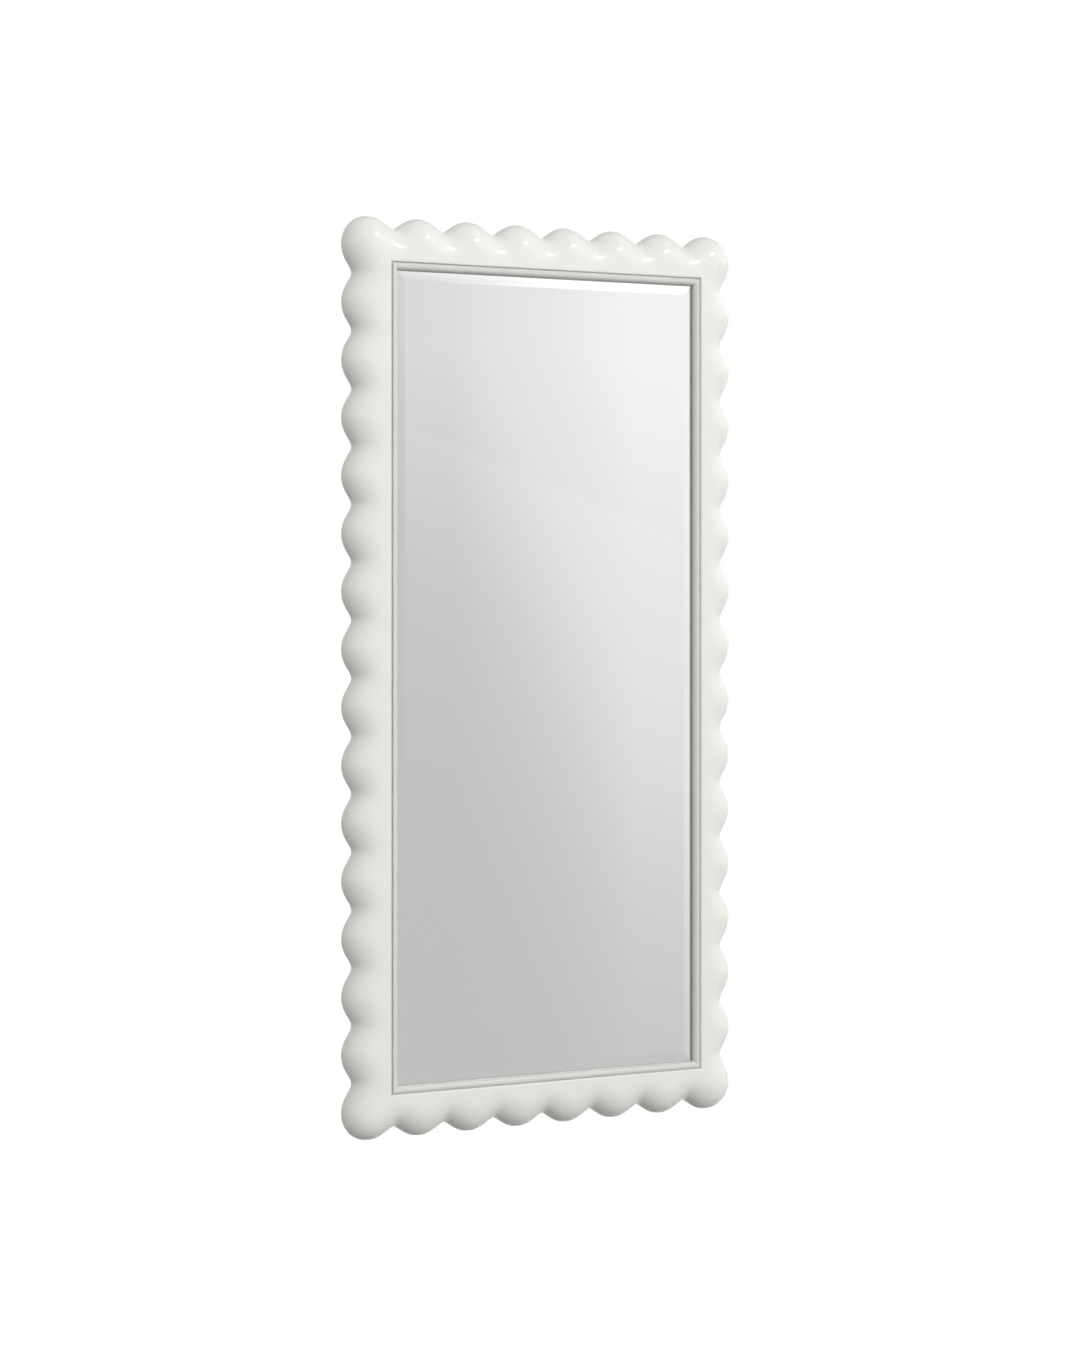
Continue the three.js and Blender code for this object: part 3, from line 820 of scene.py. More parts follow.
@dataclass
class ScallopedMoulding:
    """One side of the frame: a moulding with a scalloped outer edge and domed scallops.

    Its section is a quarter-ellipse from the wall side to the front face, then the flat face,
    the ledge for the bead, the tongue and the recess for the back panel. The corner scallop is
    a dome that two mouldings share at the mitre.
    """

    sizes: FrameSizes
    side: Side
    valley_share: float = 0.194
    valley_softness: float = 0.58
    opening: float = 1.1
    steps_per_scallop: int = 36
    dome_steps: int = 28
    rounding_steps: int = 26
    arris: float = 1.0 * MM
    groove_arris: float = 4.0 * MM
    flat_margin: float = 1.5 * MM
    edge_steps: int = 7
    ledge_depth: float = 8.0 * MM

    @property
    def length(self) -> float:
        """Outer length of the moulding."""
        return self.sizes.length_of(self.side)

    @property
    def flat(self) -> float:
        """Inset of the feet that are planed on the lowest side."""
        return self.sizes.floor_flat if self.side is Side.BOTTOM else 0.0

    @property
    def reach(self) -> float:
        """Inset over which the front rounds back, which is also the dome's radius."""
        return self.sizes.pitch / 2

    def swell(self, wave: np.ndarray) -> np.ndarray:
        """Turns a plain wave from 0 to 1 into a broad crest over a tight valley."""
        softness = self.valley_softness ** 2
        return np.log(1 + wave / softness) / math.log(1 + 1 / softness)

    def outline(self, along: float, share: np.ndarray) -> np.ndarray:
        """Inset of the scallops at each height of the rounding.

        At the wall side the crests are broad and the valleys tight. As with any rounded edge,
        the valleys open out and the crests draw in towards the front.

        Args:
            along: Distance from the moulding's end.
            share: How far each point lies in from the edge, as a share of the reach.

        Returns:
            The inset at each point.
        """
        wave = math.cos(math.pi * (along / self.sizes.pitch - 0.5)) ** 2
        at_wall = self.swell(wave)
        at_face = 1 - self.swell(1 - wave)
        mix = np.clip(self.opening * share, 0, 1)
        valley = self.valley_share * self.sizes.pitch
        return valley * (1 - (1 - mix) * at_wall - mix * at_face)

    def rounding(self) -> tuple[np.ndarray, np.ndarray]:
        """Insets and depths of the section's round part, counted from the outline.

        Returns:
            Insets as shares of the reach, and depths, from the wall side to the front face.
        """
        depth = self.sizes.depth
        start = math.asin(self.arris / depth)
        angle = np.linspace(start, np.pi / 2, self.rounding_steps)
        share = 1 - np.cos(angle)
        turn = np.linspace(np.pi / 2, 0, 4)[:-1]
        corner_share = self.arris * (1 - np.cos(turn)) / self.reach
        corner_depth = depth - self.arris * (1 - np.sin(turn))
        return np.concatenate([corner_share, share]), np.concatenate(
            [corner_depth, depth * (1 - np.sin(angle))]
        )

    def inner_section(self) -> np.ndarray:
        """Inset and depth of each corner of the section's inner part, front to back."""
        sizes, ease = self.sizes, self.groove_arris
        edge = quarter((sizes.groove_inset - ease, 0.0), ease, ease, self.edge_steps)
        margin = np.array([[sizes.groove_inset - ease - self.flat_margin, 0.0]])
        corners = [
            (sizes.groove_inset, self.ledge_depth),
            (sizes.tongue_inset, self.ledge_depth),
            (sizes.tongue_inset, sizes.shoulder_depth),
            (sizes.recess_inset, sizes.shoulder_depth),
            (sizes.recess_inset, sizes.depth),
        ]
        return np.concatenate([margin, edge, np.array(corners)])

    def section_rows(self) -> list[np.ndarray]:
        """Sections from one mitre to the other.

        Returns:
            One array of (along, inset, depth) for each section.
        """
        share, round_depth = self.rounding()
        inner = self.inner_section()
        rows = []
        for fan, far in self.fans():
            radius = self.reach * (1 - share)
            from_end = self.sizes.pitch / 2 - radius * math.cos(fan)
            inset = self.sizes.pitch / 2 - radius * math.sin(fan)
            along = self.length - from_end if far else from_end
            end = np.full(len(inner), self.length if far else 0.0)
            rows.append(self.row(along, inset, round_depth, end, inner))
        half = self.sizes.pitch / 2
        count = self.steps_per_scallop * (self.sizes.scallops_on(self.side) - 1) + 1
        middle = [
            self.row(
                np.full(len(share), place),
                self.outline(place, share) + self.reach * share,
                round_depth,
                np.full(len(inner), place),
                inner,
            )
            for place in np.linspace(half, self.length - half, count)
        ]
        near = rows[: self.dome_steps]
        return near + middle + rows[self.dome_steps:]

    def fans(self) -> list[tuple[float, bool]]:
        """Angles of the dome's sections, from the mitre inwards and back out to the other one."""
        angles = [math.pi / 4 * (1 + i / self.dome_steps) for i in range(self.dome_steps)]
        return [(angle, False) for angle in angles] + [(angle, True) for angle in reversed(angles)]

    def row(
        self,
        along: np.ndarray,
        inset: np.ndarray,
        depth: np.ndarray,
        inner_along: np.ndarray,
        inner: np.ndarray,
    ) -> np.ndarray:
        """Joins the round and the inner part of one section, held inside the mitres.

        Args:
            along: Distance along the moulding of each round point.
            inset: Inset of each round point.
            depth: Depth of each round point.
            inner_along: Distance along the moulding of each inner point.
            inner: Inset and depth of each inner point.

        Returns:
            The section's points as (along, inset, depth).
        """
        insets = np.concatenate([np.maximum(inset, self.flat), inner[:, 0]])
        places = np.concatenate([along, inner_along])
        held = np.clip(places, insets, self.length - insets)
        return np.stack([held, insets, np.concatenate([depth, inner[:, 1]])], axis=1)

    def build(self) -> Piece:
        """Makes the moulding: a sheet of quads wrapped round the sections, closed at the mitres.

        Returns:
            The finished piece, not yet dressed.
        """
        rows = np.stack(self.section_rows())
        rows = np.concatenate([rows, rows[:, :1]], axis=1)
        along_count, round_count = rows.shape[:2]
        deselect_everything()
        bpy.ops.mesh.primitive_grid_add(
            x_subdivisions=along_count - 1, y_subdivisions=round_count - 1, size=1
        )
        piece = settle(f"{self.side.value}_moulding")
        flat = np.empty(len(piece.data.vertices) * 3)
        piece.data.vertices.foreach_get("co", flat)
        flat = flat.reshape(-1, 3)
        i = np.rint((flat[:, 0] + 0.5) * (along_count - 1)).astype(int)
        j = np.rint((flat[:, 1] + 0.5) * (round_count - 1)).astype(int)
        along, inset, depth = np.moveaxis(rows[i, j], -1, 0)
        placed = self.sizes.place(self.side, along, inset, depth)
        piece.data.vertices.foreach_set("co", placed.ravel())
        with editing(piece):
            bpy.ops.mesh.select_all(action="SELECT")
            bpy.ops.mesh.remove_doubles(threshold=2e-6)
            bpy.ops.mesh.select_all(action="SELECT")
            bpy.ops.mesh.fill_holes(sides=0)
        tidy_mesh(piece, 30)
        return piece


# --- inner beads


@dataclass
class InnerBead:
    """The slip between the face and the glass: a foot, a groove, a crown and a lip."""

    sizes: FrameSizes
    side: Side
    groove_width: float = 3.6 * MM
    groove_depth: float = 6.5 * MM
    sunk: float = 0.8 * MM
    crown: float = 4.0 * MM
    ease: float = 0.8 * MM
    edge_depth: float = 12.6 * MM
    ledge_depth: float = 7.7 * MM
    gap: float = 0.3 * MM
    curve_steps: int = 12

    def section(self) -> np.ndarray:
        """Inset and depth of each point of the bead's section."""
        start = self.sizes.groove_inset + self.groove_width
        sight = self.sizes.sight_inset
        turn = np.linspace(0, np.pi / 2, 5)
        shoulder = np.stack(
            [
                start + self.ease * (1 - np.cos(turn)),
                self.sunk + self.ease * (1 - np.sin(turn)),
            ],
            axis=1,
        )
        crest = start + self.crown
        curve = quarter(
            (crest, self.sunk), sight - crest, self.edge_depth - self.sunk, self.curve_steps
        )
        foot = self.sizes.groove_inset + self.gap
        hook = self.sizes.tongue_inset + self.gap
        lip = self.sizes.lip_depth
        before = [(foot, self.ledge_depth), (foot, self.groove_depth), (start, self.groove_depth)]
        after = [(sight, lip), (hook, lip), (hook, self.ledge_depth)]
        return np.concatenate([np.array(before), shoulder, curve, np.array(after)])

    def build(self) -> Piece:
        """Makes the bead: its section drawn out along the side, then mitred at both ends.

        Returns:
            The finished piece, not yet dressed.
        """
        section = self.section()
        length = self.sizes.length_of(self.side)
        ends = [
            self.sizes.place(self.side, np.full(len(section), end), section[:, 0], section[:, 1])
            for end in (0.0, length)
        ]
        deselect_everything()
        bpy.ops.mesh.primitive_circle_add(vertices=len(section), fill_type="NGON")
        piece = settle(f"{self.side.value}_bead_slip")
        piece.data.vertices.foreach_set("co", ends[0].ravel())
        with editing(piece):
            bpy.ops.mesh.select_all(action="SELECT")
            extrude(ends[1][0] - ends[0][0])
            for is_far in (False, True):
                self.cut_mitre(is_far)
        tidy_mesh(piece)
        return piece

    def cut_mitre(self, is_far: bool) -> None:
        """Cuts the edited bead at 45 degrees through the frame's corner and closes the cut.

        Args:
            is_far: Whether it is the end of the side, and not its start.
        """
        length = self.sizes.length_of(self.side)
        end = length if is_far else 0.0
        lean = -1.0 if is_far else 1.0
        along = np.array([end, end + lean, end + lean])
        inset = np.array([0.0, 0.0, 1.0])
        probe = self.sizes.place(self.side, along, inset, np.zeros(3))
        corner, inward = Vector(probe[0]), Vector(probe[2] - probe[0])
        normal = inward.cross(Vector((0, 1, 0))).normalized()
        keep = Vector(probe[1]) - corner
        if keep.dot(normal) > 0:
            normal.negate()
        bpy.ops.mesh.select_all(action="SELECT")
        bpy.ops.mesh.bisect(plane_co=corner, plane_no=normal, use_fill=True, clear_outer=True)


# --- mirror plate


@dataclass
class MirrorPlate:
    """The silvered plate with its polished bevel."""

    sizes: FrameSizes
    bevel_width: float = 28.0 * MM
    bevel_drop: float = 3.0 * MM
    arris: float = 0.25 * MM
    finish: SilveredGlass = field(default_factory=SilveredGlass)

    def build(self) -> Piece:
        """Makes the plate: a slab whose front face is inset and pulled forward.

        Returns:
            The finished piece, not yet dressed.
        """
        low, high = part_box("mirror_glass")
        slab_low = Vector((low.x, low.y + self.bevel_drop, low.z))
        piece = make_box("bevelled_plate", slab_low, high)
        with editing(piece):
            pick_faces(piece, lambda centre, normal: normal.y < -FACING)
            bpy.ops.mesh.inset(thickness=self.bevel_width)
            bpy.ops.transform.translate(value=(0, -self.bevel_drop, 0))
        ease_edges(piece, self.arris, segments=2, angle=3)
        tidy_mesh(piece, 2)
        return piece

    def make(self) -> None:
        """Makes and dresses the plate."""
        plate = self.build()
        plate.visible_diffuse = False
        hand_over(plate, self.finish.build(), "silvered_glass", BODY, "mirror_glass")


# --- hardware on the back


@dataclass
class PanHeadScrews:
    """Cross-recessed pan-head screws of one size, one for each packed screw node."""

    name: str
    nodes: Sequence[str]
    sides: int = 32
    rise_share: float = 0.5
    shank_share: float = 0.46
    rim_share: float = 0.55
    arm_share: float = 0.55
    web_share: float = 0.12
    sink_share: float = 0.42
    proud_share: float = 0.2
    outer_share: float = 0.9
    recess_taper: float = 0.6
    point_taper: float = 0.08

    def shape(self) -> tuple[float, float, float, float, Vector]:
        """Head radius, rise, shank radius, length below the head, and place of the first screw."""
        low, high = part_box(self.nodes[0])
        head = (high.z - low.z) / 2
        rise = self.rise_share * head
        seat = Vector(((low.x + high.x) / 2, high.y - rise, (low.z + high.z) / 2))
        return head, rise, self.shank_share * head, high.y - low.y - rise, seat

    def build(self) -> Piece:
        """Makes the first screw: a domed head with a cross recess on a pointed shank.

        Returns:
            The screw in the place of the first node.
        """
        head, rise, shank, length, seat = self.shape()
        deselect_everything()
        bpy.ops.mesh.primitive_cylinder_add(
            vertices=self.sides, radius=head, depth=rise, rotation=(math.pi / 2, 0, 0),
            location=seat + Vector((0, rise / 2, 0)),
        )
        screw = settle(f"{self.name}_1")
        with editing(screw):
            pick_faces(screw, lambda centre, normal: normal.y > FACING)
            bpy.ops.mesh.bevel(offset=self.rim_share * rise, segments=5, affect="EDGES")
            pick_faces(screw, lambda centre, normal: normal.y < -FACING)
            bpy.ops.mesh.inset(thickness=head - shank)
            extrude((0, -(length - 2 * shank), 0))
            extrude((0, -2 * shank, 0))
            bpy.ops.transform.resize(value=(self.point_taper, 1, self.point_taper))
        cut_away(screw, self.make_driver(seat + Vector((0, rise, 0)), head))
        tidy_mesh(screw, 40)
        return screw

    def make_driver(self, top: Vector, head: float) -> Piece:
        """Makes the cross-shaped cutter for the recess.

        Args:
            top: Middle of the head's outer face.
            head: Radius of the head.

        Returns:
            The cutter, tapered towards the shank.
        """
        arm, web, sink = (
            share * head for share in (self.arm_share, self.web_share, self.sink_share)
        )
        low = top + Vector((-web, -sink, -web))
        high = top + Vector((web, self.proud_share * head, web))
        cutter = make_box("driver_bit", low, high)
        with editing(cutter):
            for direction in (Vector((1, 0, 0)), Vector((0, 0, 1))):
                for sign in (-1, 1):
                    way = direction * sign
                    pick_faces(
                        cutter,
                        lambda centre, normal, way=way: normal.dot(way) > FACING
                        and (centre - top).dot(way) > self.outer_share * web,
                    )
                    extrude(way * (arm - web))
            pick_faces(cutter, lambda centre, normal: normal.y < -FACING)
            bpy.ops.transform.resize(
                value=(self.recess_taper, 1, self.recess_taper),
                center_override=(top.x, low.y, top.z),
            )
        return cutter

    def make(self, material: bpy.types.Material) -> None:
        """Makes all the screws and dresses them.

        Args:
            material: Their finish.
        """
        first = self.build()
        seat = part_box(self.nodes[0])[0]
        screws = [first]
        for number, node in enumerate(self.nodes[1:], start=2):
            screws.append(copy_piece(first, f"{self.name}_{number}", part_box(node)[0] - seat))
        for screw, node in zip(screws, self.nodes):
            hand_over(screw, material, "zinc_steel", BODY, node)


@dataclass
class CornerPlates:
    """L-shaped steel plates across the four mitres."""

    arm_width: float = 16.0 * MM
    arris: float = 0.4 * MM
    tip_radius: float = 5.0 * MM

    def build(self, node: str, side_sign: int, level_sign: int) -> Piece:
        """Makes one plate: a square at the corner with two arms drawn out of it.

        Args:
            node: Packed plate that it stands for.
            side_sign: 1 at the right of the frame, -1 at its left.
            level_sign: 1 at the top of the frame, -1 at its bottom.

        Returns:
            The finished piece, not yet dressed.
        """
        low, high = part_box(node)
        reach = high.x - low.x - self.arm_width
        corner_x = high.x if side_sign > 0 else low.x
        corner_z = high.z if level_sign > 0 else low.z
        inner_x = corner_x - side_sign * self.arm_width
        inner_z = corner_z - level_sign * self.arm_width
        piece = make_box(
            node.replace("corner_plate", "mitre_plate"),
            Vector((min(corner_x, inner_x), low.y, min(corner_z, inner_z))),
            Vector((max(corner_x, inner_x), high.y, max(corner_z, inner_z))),
        )
        tip_x = inner_x - side_sign * reach
        tip_z = inner_z - level_sign * reach
        with editing(piece):
            pick_faces(piece, lambda centre, normal: normal.x * side_sign < -FACING)
            extrude((-side_sign * reach, 0, 0))
            pick_faces(
                piece,
                lambda centre, normal: normal.z * level_sign < -FACING
                and abs(centre.x - corner_x) < self.arm_width,
            )
            extrude((0, 0, -level_sign * reach))
            pick_edges(
                piece,
                lambda a, b: abs(a.y - b.y) > TOUCHING
                and (abs(a.x - tip_x) < TOUCHING or abs(a.z - tip_z) < TOUCHING),
            )
            bpy.ops.mesh.bevel(offset=self.tip_radius, segments=6, affect="EDGES")
        ease_edges(piece, self.arris)
        tidy_mesh(piece)
        return piece

    def make(self, material: bpy.types.Material) -> None:
        """Makes and dresses the four plates."""
        for level, level_sign in (("bottom", -1), ("top", 1)):
            for side, side_sign in (("left", -1), ("right", 1)):
                node = f"corner_plate_{level}_{side}"
                piece = self.build(node, side_sign, level_sign)
                hand_over(piece, material, "zinc_steel", BODY, node)


@dataclass
class RingHanger:
    """A steel strap curled round the straight side of a swinging D-ring."""

    side: Side
    thickness: float = 1.5 * MM
    gap: float = 0.3 * MM
    end_radius: float = 8.0 * MM
    corner: float = 3.0 * MM
    curl: float = 1.5 * math.pi
    arris: float = 0.25 * MM

    @property
    def ring_node(self) -> str:
        """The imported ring."""
        return f"hanger_ring_{self.side.value}"

    @property
    def strap_node(self) -> str:
        """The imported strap."""
        return f"hanger_strap_{self.side.value}"

    @property
    def wire(self) -> float:
        """Radius of the ring's wire."""
        low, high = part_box(self.ring_node)
        return (high.y - low.y) / 2

    @property
    def pivot(self) -> Vector:
        """Middle of the ring's straight side, where it turns."""
        low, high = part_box(self.ring_node)
        return Vector(((low.x + high.x) / 2, (low.y + high.y) / 2, high.z - self.wire))

    def build_ring(self) -> Piece:
        """Makes the ring: half a torus, two arms drawn up, two spun corners and a bridge.

        Returns:
            The finished piece, not yet dressed.
        """
        low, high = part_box(self.ring_node)
        wire, pivot = self.wire, self.pivot
        half_width = (high.x - low.x) / 2 - wire
        bow = Vector((pivot.x, pivot.y, low.z + wire + half_width))
        corner = self.corner
        deselect_everything()
        bpy.ops.mesh.primitive_torus_add(
            location=bow, rotation=(math.pi / 2, 0, 0), major_radius=half_width,
            minor_radius=wire, major_segments=56, minor_segments=20,
        )
        ring = settle(f"swing_ring_{self.side.value}")
        with editing(ring):
            bpy.ops.mesh.select_all(action="SELECT")
            bpy.ops.mesh.bisect(plane_co=bow, plane_no=(0, 0, 1), clear_outer=True)
            for sign in (-1, 1):
                pick_edges(ring, lambda a, b: (a.x - pivot.x) * sign > 0, only_open=True)
                extrude((0, 0, pivot.z - corner - bow.z))
                turn_centre = pivot + Vector((sign * (half_width - corner), 0, -corner))
                bpy.ops.mesh.spin(
                    steps=8, angle=math.pi / 2, center=turn_centre, axis=(0, -sign, 0)
                )
            pick_edges(ring, lambda a, b: True, only_open=True)
            bpy.ops.mesh.bridge_edge_loops(number_cuts=6)
        tidy_mesh(ring, 60)
        return ring

    def build_strap(self) -> Piece:
        """Makes the strap: a plate whose top is spun into a curl and whose foot is rounded.

        Returns:
            The finished piece, not yet dressed.
        """
        low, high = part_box(self.strap_node)
        pivot = self.pivot
        plate_back = pivot.y - self.wire - self.gap
        strap = make_box(
            f"curled_strap_{self.side.value}",
            Vector((low.x, plate_back - self.thickness, low.z)),
            Vector((high.x, plate_back, pivot.z)),
        )
        with editing(strap):
            pick_edges(
                strap, lambda a, b: abs(a.y - b.y) > TOUCHING and abs(a.z - low.z) < TOUCHING
            )
            bpy.ops.mesh.bevel(offset=self.end_radius, segments=8, affect="EDGES")
            pick_faces(strap, lambda centre, normal: normal.z > FACING)
            bpy.ops.mesh.spin(steps=30, angle=self.curl, center=pivot, axis=(-1, 0, 0))
        ease_edges(strap, self.arris, angle=50)
        tidy_mesh(strap)
        return strap

    def make(self, material: bpy.types.Material) -> None:
        """Makes and dresses the strap, which is fixed, and the ring, which swings."""
        hand_over(self.build_strap(), material, "zinc_steel", BODY, self.strap_node)
        body = f"{self.side.value}_ring"
        hand_over(self.build_ring(), material, "zinc_steel", body, self.ring_node)


@dataclass
class WallButtons:
    """Rubber buttons that keep the frame off the wall."""

    rounding: float = 2.0 * MM
    dish: float = 1.0 * MM
    dish_share: float = 0.45
    dish_taper: float = 0.7

    def build(self, node: str) -> Piece:
        """Makes one button: a short cylinder with a rounded rim and a dished face.

        Args:
            node: Packed button that it stands for.

        Returns:
            The finished piece, not yet dressed.
        """
        low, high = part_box(node)
        radius = (high.x - low.x) / 2
        deselect_everything()
        bpy.ops.mesh.primitive_cylinder_add(
            vertices=48, radius=radius, depth=high.y - low.y,
            location=(low + high) / 2, rotation=(math.pi / 2, 0, 0),
        )
        button = settle(node.replace("wall_bumper", "wall_button"))
        with editing(button):
            pick_faces(button, lambda centre, normal: normal.y > FACING)
            bpy.ops.mesh.bevel(offset=self.rounding, segments=5, affect="EDGES")
            pick_faces(button, lambda centre, normal: normal.y > 0.99)
            bpy.ops.mesh.inset(thickness=self.dish_share * radius)
            extrude((0, -self.dish, 0))
            bpy.ops.transform.resize(value=(self.dish_taper, 1, self.dish_taper))
        tidy_mesh(button, 40)
        return button

    def make(self, material: bpy.types.Material) -> None:
        """Makes and dresses the four buttons."""
        for level in ("bottom", "top"):
            for side in ("left", "right"):
                node = f"wall_bumper_{level}_{side}"
                hand_over(self.build(node), material, "rubber", BODY, node)


# --- sub-assemblies


@dataclass
class LacqueredFrame:
    """The four mouldings and the four beads under one coat; the beads get a copy darkened to 0.82 as
    painted shade.
    """

    sizes: FrameSizes
    finish: Lacquer = field(default_factory=Lacquer)
    # The beads' lacquer is darkened to 0.82: painted shade for the recess round the glass.
    bead_finish_painted_shade: Lacquer = field(default_factory=lambda: Lacquer(name="bead_lacquer_painted_shade", shade=0.82))

    def make(self) -> None:
        """Makes and dresses the mouldings and the beads."""
        material = self.finish.build()
        # Darker copy of the lacquer: painted shade on the beads.
        bead_material_painted_shade = self.bead_finish_painted_shade.build()
        for side in Side:
            moulding = ScallopedMoulding(self.sizes, side).build()
            hand_over(moulding, material, "lacquer", BODY, side.node)
            bead = InnerBead(self.sizes, side).build()
            hand_over(bead, bead_material_painted_shade, "lacquer", BODY, f"{side.value}_bead")


@dataclass
class BackHardware:
    """Plates, hangers, screws and buttons on the back."""

    steel: ZincPlate = field(default_factory=ZincPlate)
    rubber: MouldedRubber = field(default_factory=MouldedRubber)

    def make(self) -> None:
        """Makes and dresses all the hardware."""
        steel = self.steel.build()
        CornerPlates().make(steel)
        for side in (Side.LEFT, Side.RIGHT):
            RingHanger(side).make(steel)
        for kind in ("panel_screw", "plate_screw", "hanger_screw"):
            nodes = sorted(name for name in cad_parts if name.startswith(kind))
            PanHeadScrews(kind.replace("_", "_pan_head_"), nodes).make(steel)
        WallButtons().make(self.rubber.build())


@dataclass
class HiddenPieces:
    """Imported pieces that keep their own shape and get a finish: board, film, foam, wood, rubber."""

    def make(self) -> None:
        """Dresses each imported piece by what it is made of."""
        finishes = {
            "back_panel": Fibreboard().build(),
            "safety_film": BackingFilm().build(),
            "foam_strip": CellFoam().build(),
            "mitre_biscuit": Beech().build(),
            "setting_block": bpy.data.materials["moulded_rubber"],
            "side_spacer": bpy.data.materials["moulded_rubber"],
        }
        for node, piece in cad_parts.items():
            for kind, material in finishes.items():
                if node.startswith(kind):
                    dress(piece, material)
                    LOG.info("%s keeps its packed shape", node)


# --- studio


@dataclass
class Studio:
    """Pale floor, soft light and the camera."""

    sizes: FrameSizes
    turn: float = 0.539
    camera_place: tuple[float, float, float] = (-31.31, -51.89, 1.59)
    lens: float = 91.06
    drop: float = -0.0658
    slide: float = 0.0019
    fill_level: float = 1.73
    fill_slope: tuple[float, float, float] = (0.5, -1.65, -2.6)
    fill_behind: float = 0.85
    room_steps: tuple[tuple[float, float], ...] = (
        (0.0, 0.565),
        (0.15, 0.57),
        (0.3, 0.615),
        (0.42, 0.665),
        (0.53, 0.76),
        (0.62, 0.825),
        (0.75, 0.86),
        (0.87, 0.96),
    )
    look_across: tuple[float, float] = (-0.042, 0.045)
    look_up: tuple[float, float] = (-0.2, 0.088)
    lean_across: float = 1.7
    beyond_across: float = 0.22
    rise_reach: float = 0.2
    card_gain: float = 0.2
    card_across: tuple[float, float] = (-0.035, 0.005)
    card_up: tuple[float, float] = (0.12, 0.22)
    ceiling_share: float = 0.45
    ceiling_up: tuple[float, float] = (0.26, 0.6)
    beam_slope: float = 0.3055
    beam_gain: float = 0.018
    beam_edges: tuple[float, float, float] = (-0.01, 0.0415, 0.0425)
    floor_size: float = 80.0
    floor_colour: Colour = (0.9, 0.9, 0.9, 1.0)
    floor_bounce: Colour = (0.18, 0.18, 0.18, 1.0)
    floor_glow: float = 0.75
    glow_strength: float = 1.22
    key_bearing: float = 35.0
    key_height: float = 33.0
    key_distance: float = 18.0
    key_width: float = 4.5
    key_rise: float = 2.2
    key_power: float = 170.0

    @property
    def middle(self) -> Vector:
        """Middle of the front face."""
        return Vector((0, self.sizes.front, self.sizes.height / 2 - self.sizes.floor_flat))

    def place_camera(self) -> None:
        """Sets the level camera to the left of the mirror, a little above its middle."""
        data = bpy.data.cameras.new("studio_camera")
        data.lens = self.lens
        data.shift_x = self.slide
        data.shift_y = self.drop
        data.clip_end = 100
        camera = bpy.data.objects.new("studio_camera", data)
        camera.location = self.middle + Vector(self.camera_place) * self.sizes.pitch
        camera.rotation_euler = (math.pi / 2, 0, -self.turn)
        bpy.context.scene.collection.objects.link(camera)
        bpy.context.scene.camera = camera

    def lay_floor(self) -> None:
        """Lays a pale floor that shows only the object's shadow."""
        deselect_everything()
        bpy.ops.mesh.primitive_plane_add(size=self.floor_size)
        floor = settle("studio_floor")
        floor.visible_glossy = False
        material = bpy.data.materials.new("floor_paint")
        material.use_nodes = True
        sheet = Sheet(material.node_tree)
        paths = sheet.add("ShaderNodeLightPath")
        shown = sheet.add("ShaderNodeBsdfDiffuse", {"Color": self.floor_colour})
        white = {"Color": WHITE, "Strength": self.glow_strength}
        glow = sheet.add("ShaderNodeEmission", white)
        seen = sheet.add(
            "ShaderNodeMixShader", {0: self.floor_glow, 1: shown.outputs[0], 2: glow.outputs[0]}
        )
        bounce = sheet.add("ShaderNodeBsdfDiffuse", {"Color": self.floor_bounce})
        both = sheet.add(
            "ShaderNodeMixShader",
            {0: paths.outputs["Is Camera Ray"], 1: bounce.outputs[0], 2: seen.outputs[0]},
        )
        output = sheet.add("ShaderNodeOutputMaterial")
        sheet.feed(output.inputs["Surface"], both.outputs[0])
        dress(floor, material)

    def hang_sky(self) -> None:
        """Surrounds the studio: white behind, soft light all round, and what the glass shows."""
        world = bpy.data.worlds.new("studio_surround")
        bpy.context.scene.world = world
        world.use_nodes = True
        sheet = Sheet(world.node_tree)
        paths = sheet.add("ShaderNodeLightPath")
        way = sheet.add("ShaderNodeTexCoord").outputs["Generated"]
        parts = sheet.add("ShaderNodeSeparateXYZ", {0: way})
        soft = self.soft_light(sheet, way, parts)
        mirrored = self.mirrored_room(sheet, way, parts)
        seen = soft
        for ray, value in (("Is Glossy Ray", mirrored), ("Is Camera Ray", 1.0)):
            inputs = {0: paths.outputs[ray], 2: seen, 3: value}
            seen = sheet.add("ShaderNodeMix", inputs, data_type="FLOAT").outputs[0]
        colour = {"Color": WHITE, "Strength": seen}
        background = sheet.add("ShaderNodeBackground", colour)
        output = sheet.add("ShaderNodeOutputWorld")
        sheet.feed(output.inputs["Surface"], background.outputs[0])

    def soft_light(self, sheet: Sheet, way: Socket, parts: bpy.types.Node) -> Socket:
        """Builds the soft light that matt surfaces receive.

        Args:
            sheet: The world's sheet.
            way: Direction looked at.
            parts: The same direction, split.

        Returns:
            A brightness: most from the front and the right, and an even light from behind.
        """
        share = sheet.add(
            "ShaderNodeVectorMath", {0: way, 1: self.fill_slope}, operation="DOT_PRODUCT"
        )
        level = sheet.math("ADD", share.outputs["Value"], self.fill_level)
        behind = sheet.spread(parts.outputs["Y"], 0.0, self.fill_behind, 0.1, 0.5)
        return sheet.math("MAXIMUM", level, behind)

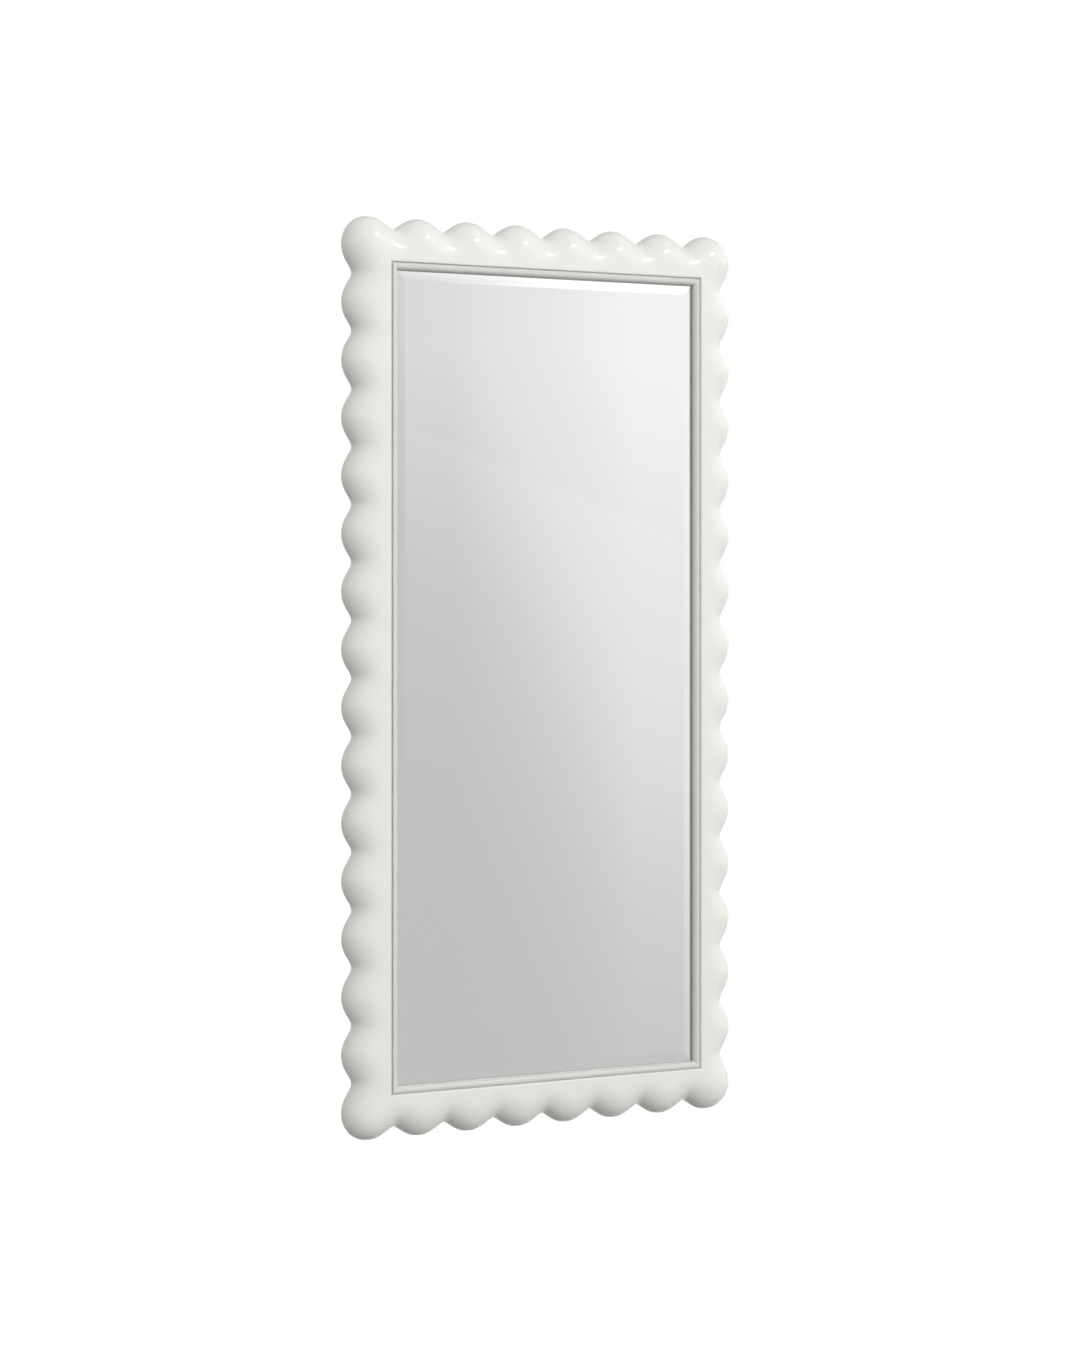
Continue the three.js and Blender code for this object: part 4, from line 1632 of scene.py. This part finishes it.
    def mirrored_room(self, sheet: Sheet, way: Socket, parts: bpy.types.Node) -> Socket:
        """Builds the brightness of the room that glossy surfaces see.

        Where the glass looks, the room brightens upwards and to the right. Beyond that it
        hardly changes, apart from a white card above, to the right.

        Args:
            sheet: The world's sheet.
            way: Direction looked at.
            parts: The same direction, split.

        Returns:
            A brightness.
        """
        aside = (math.cos(self.turn), math.sin(self.turn), 0.0)
        across = sheet.add("ShaderNodeVectorMath", {0: way, 1: aside}, operation="DOT_PRODUCT")
        across = across.outputs["Value"]
        up = parts.outputs["Z"]
        near = sheet.spread(across, *self.look_across, *self.look_across)
        far = sheet.math("SUBTRACT", across, near)
        level = sheet.spread(up, *self.look_up, *self.look_up)
        rise = sheet.math("MULTIPLY_ADD", near, self.lean_across, level)
        rise = sheet.math("MULTIPLY_ADD", far, self.beyond_across, rise)
        share = sheet.spread(rise, 0.0, 1.0, -self.rise_reach, self.rise_reach)
        ramp = sheet.add("ShaderNodeValToRGB", {0: share})
        ramp.color_ramp.interpolation = "B_SPLINE"
        elements = ramp.color_ramp.elements
        while len(elements) < len(self.room_steps):
            elements.new(0.5)
        for element, (position, value) in zip(elements, self.room_steps):
            element.position = position
            element.color = (value, value, value, 1)
        card = sheet.math(
            "MULTIPLY",
            sheet.spread(across, 0.0, self.card_gain, *self.card_across),
            sheet.spread(up, 0.0, 1.0, *self.card_up),
        )
        start, edge, end = self.beam_edges
        height = sheet.math("MULTIPLY_ADD", across, self.beam_slope, up)
        beam = sheet.math(
            "MULTIPLY",
            sheet.spread(height, 0.0, self.beam_gain, start, edge),
            sheet.spread(height, 1.0, 0.0, edge, end),
        )
        ceiling = sheet.spread(up, 1.0, self.ceiling_share, *self.ceiling_up)
        room = sheet.math("ADD", ramp.outputs[0], card)
        return sheet.math("MULTIPLY_ADD", room, ceiling, beam)

    def hang_key(self) -> None:
        """Hangs the wide soft box to the right of the mirror, above it, aimed at its middle."""
        data = bpy.data.lights.new("key_lamp", "AREA")
        data.shape = "RECTANGLE"
        data.size = self.key_width
        data.size_y = self.key_rise
        data.energy = self.key_power
        lamp = bpy.data.objects.new("key_lamp", data)
        turn, rise = math.radians(self.key_bearing), math.radians(self.key_height)
        level = math.cos(rise)
        way = Vector((math.sin(turn) * level, -math.cos(turn) * level, math.sin(rise)))
        lamp.location = self.middle + way * self.key_distance
        lamp.rotation_euler = way.to_track_quat("Z", "Y").to_euler()
        bpy.context.scene.collection.objects.link(lamp)

    def make(self) -> None:
        """Makes the whole studio."""
        self.place_camera()
        self.lay_floor()
        self.hang_sky()
        self.hang_key()
        bpy.context.scene.view_settings.view_transform = "Standard"


def main() -> None:
    """Makes the studio and then each sub-assembly."""
    logging.basicConfig(level=logging.INFO, format="%(name)s: %(message)s")
    sizes = read_sizes()
    Studio(sizes).make()
    LacqueredFrame(sizes).make()
    MirrorPlate(sizes).make()
    BackHardware().make()
    HiddenPieces().make()
    deselect_everything()


if __name__ == "__main__":
    main()
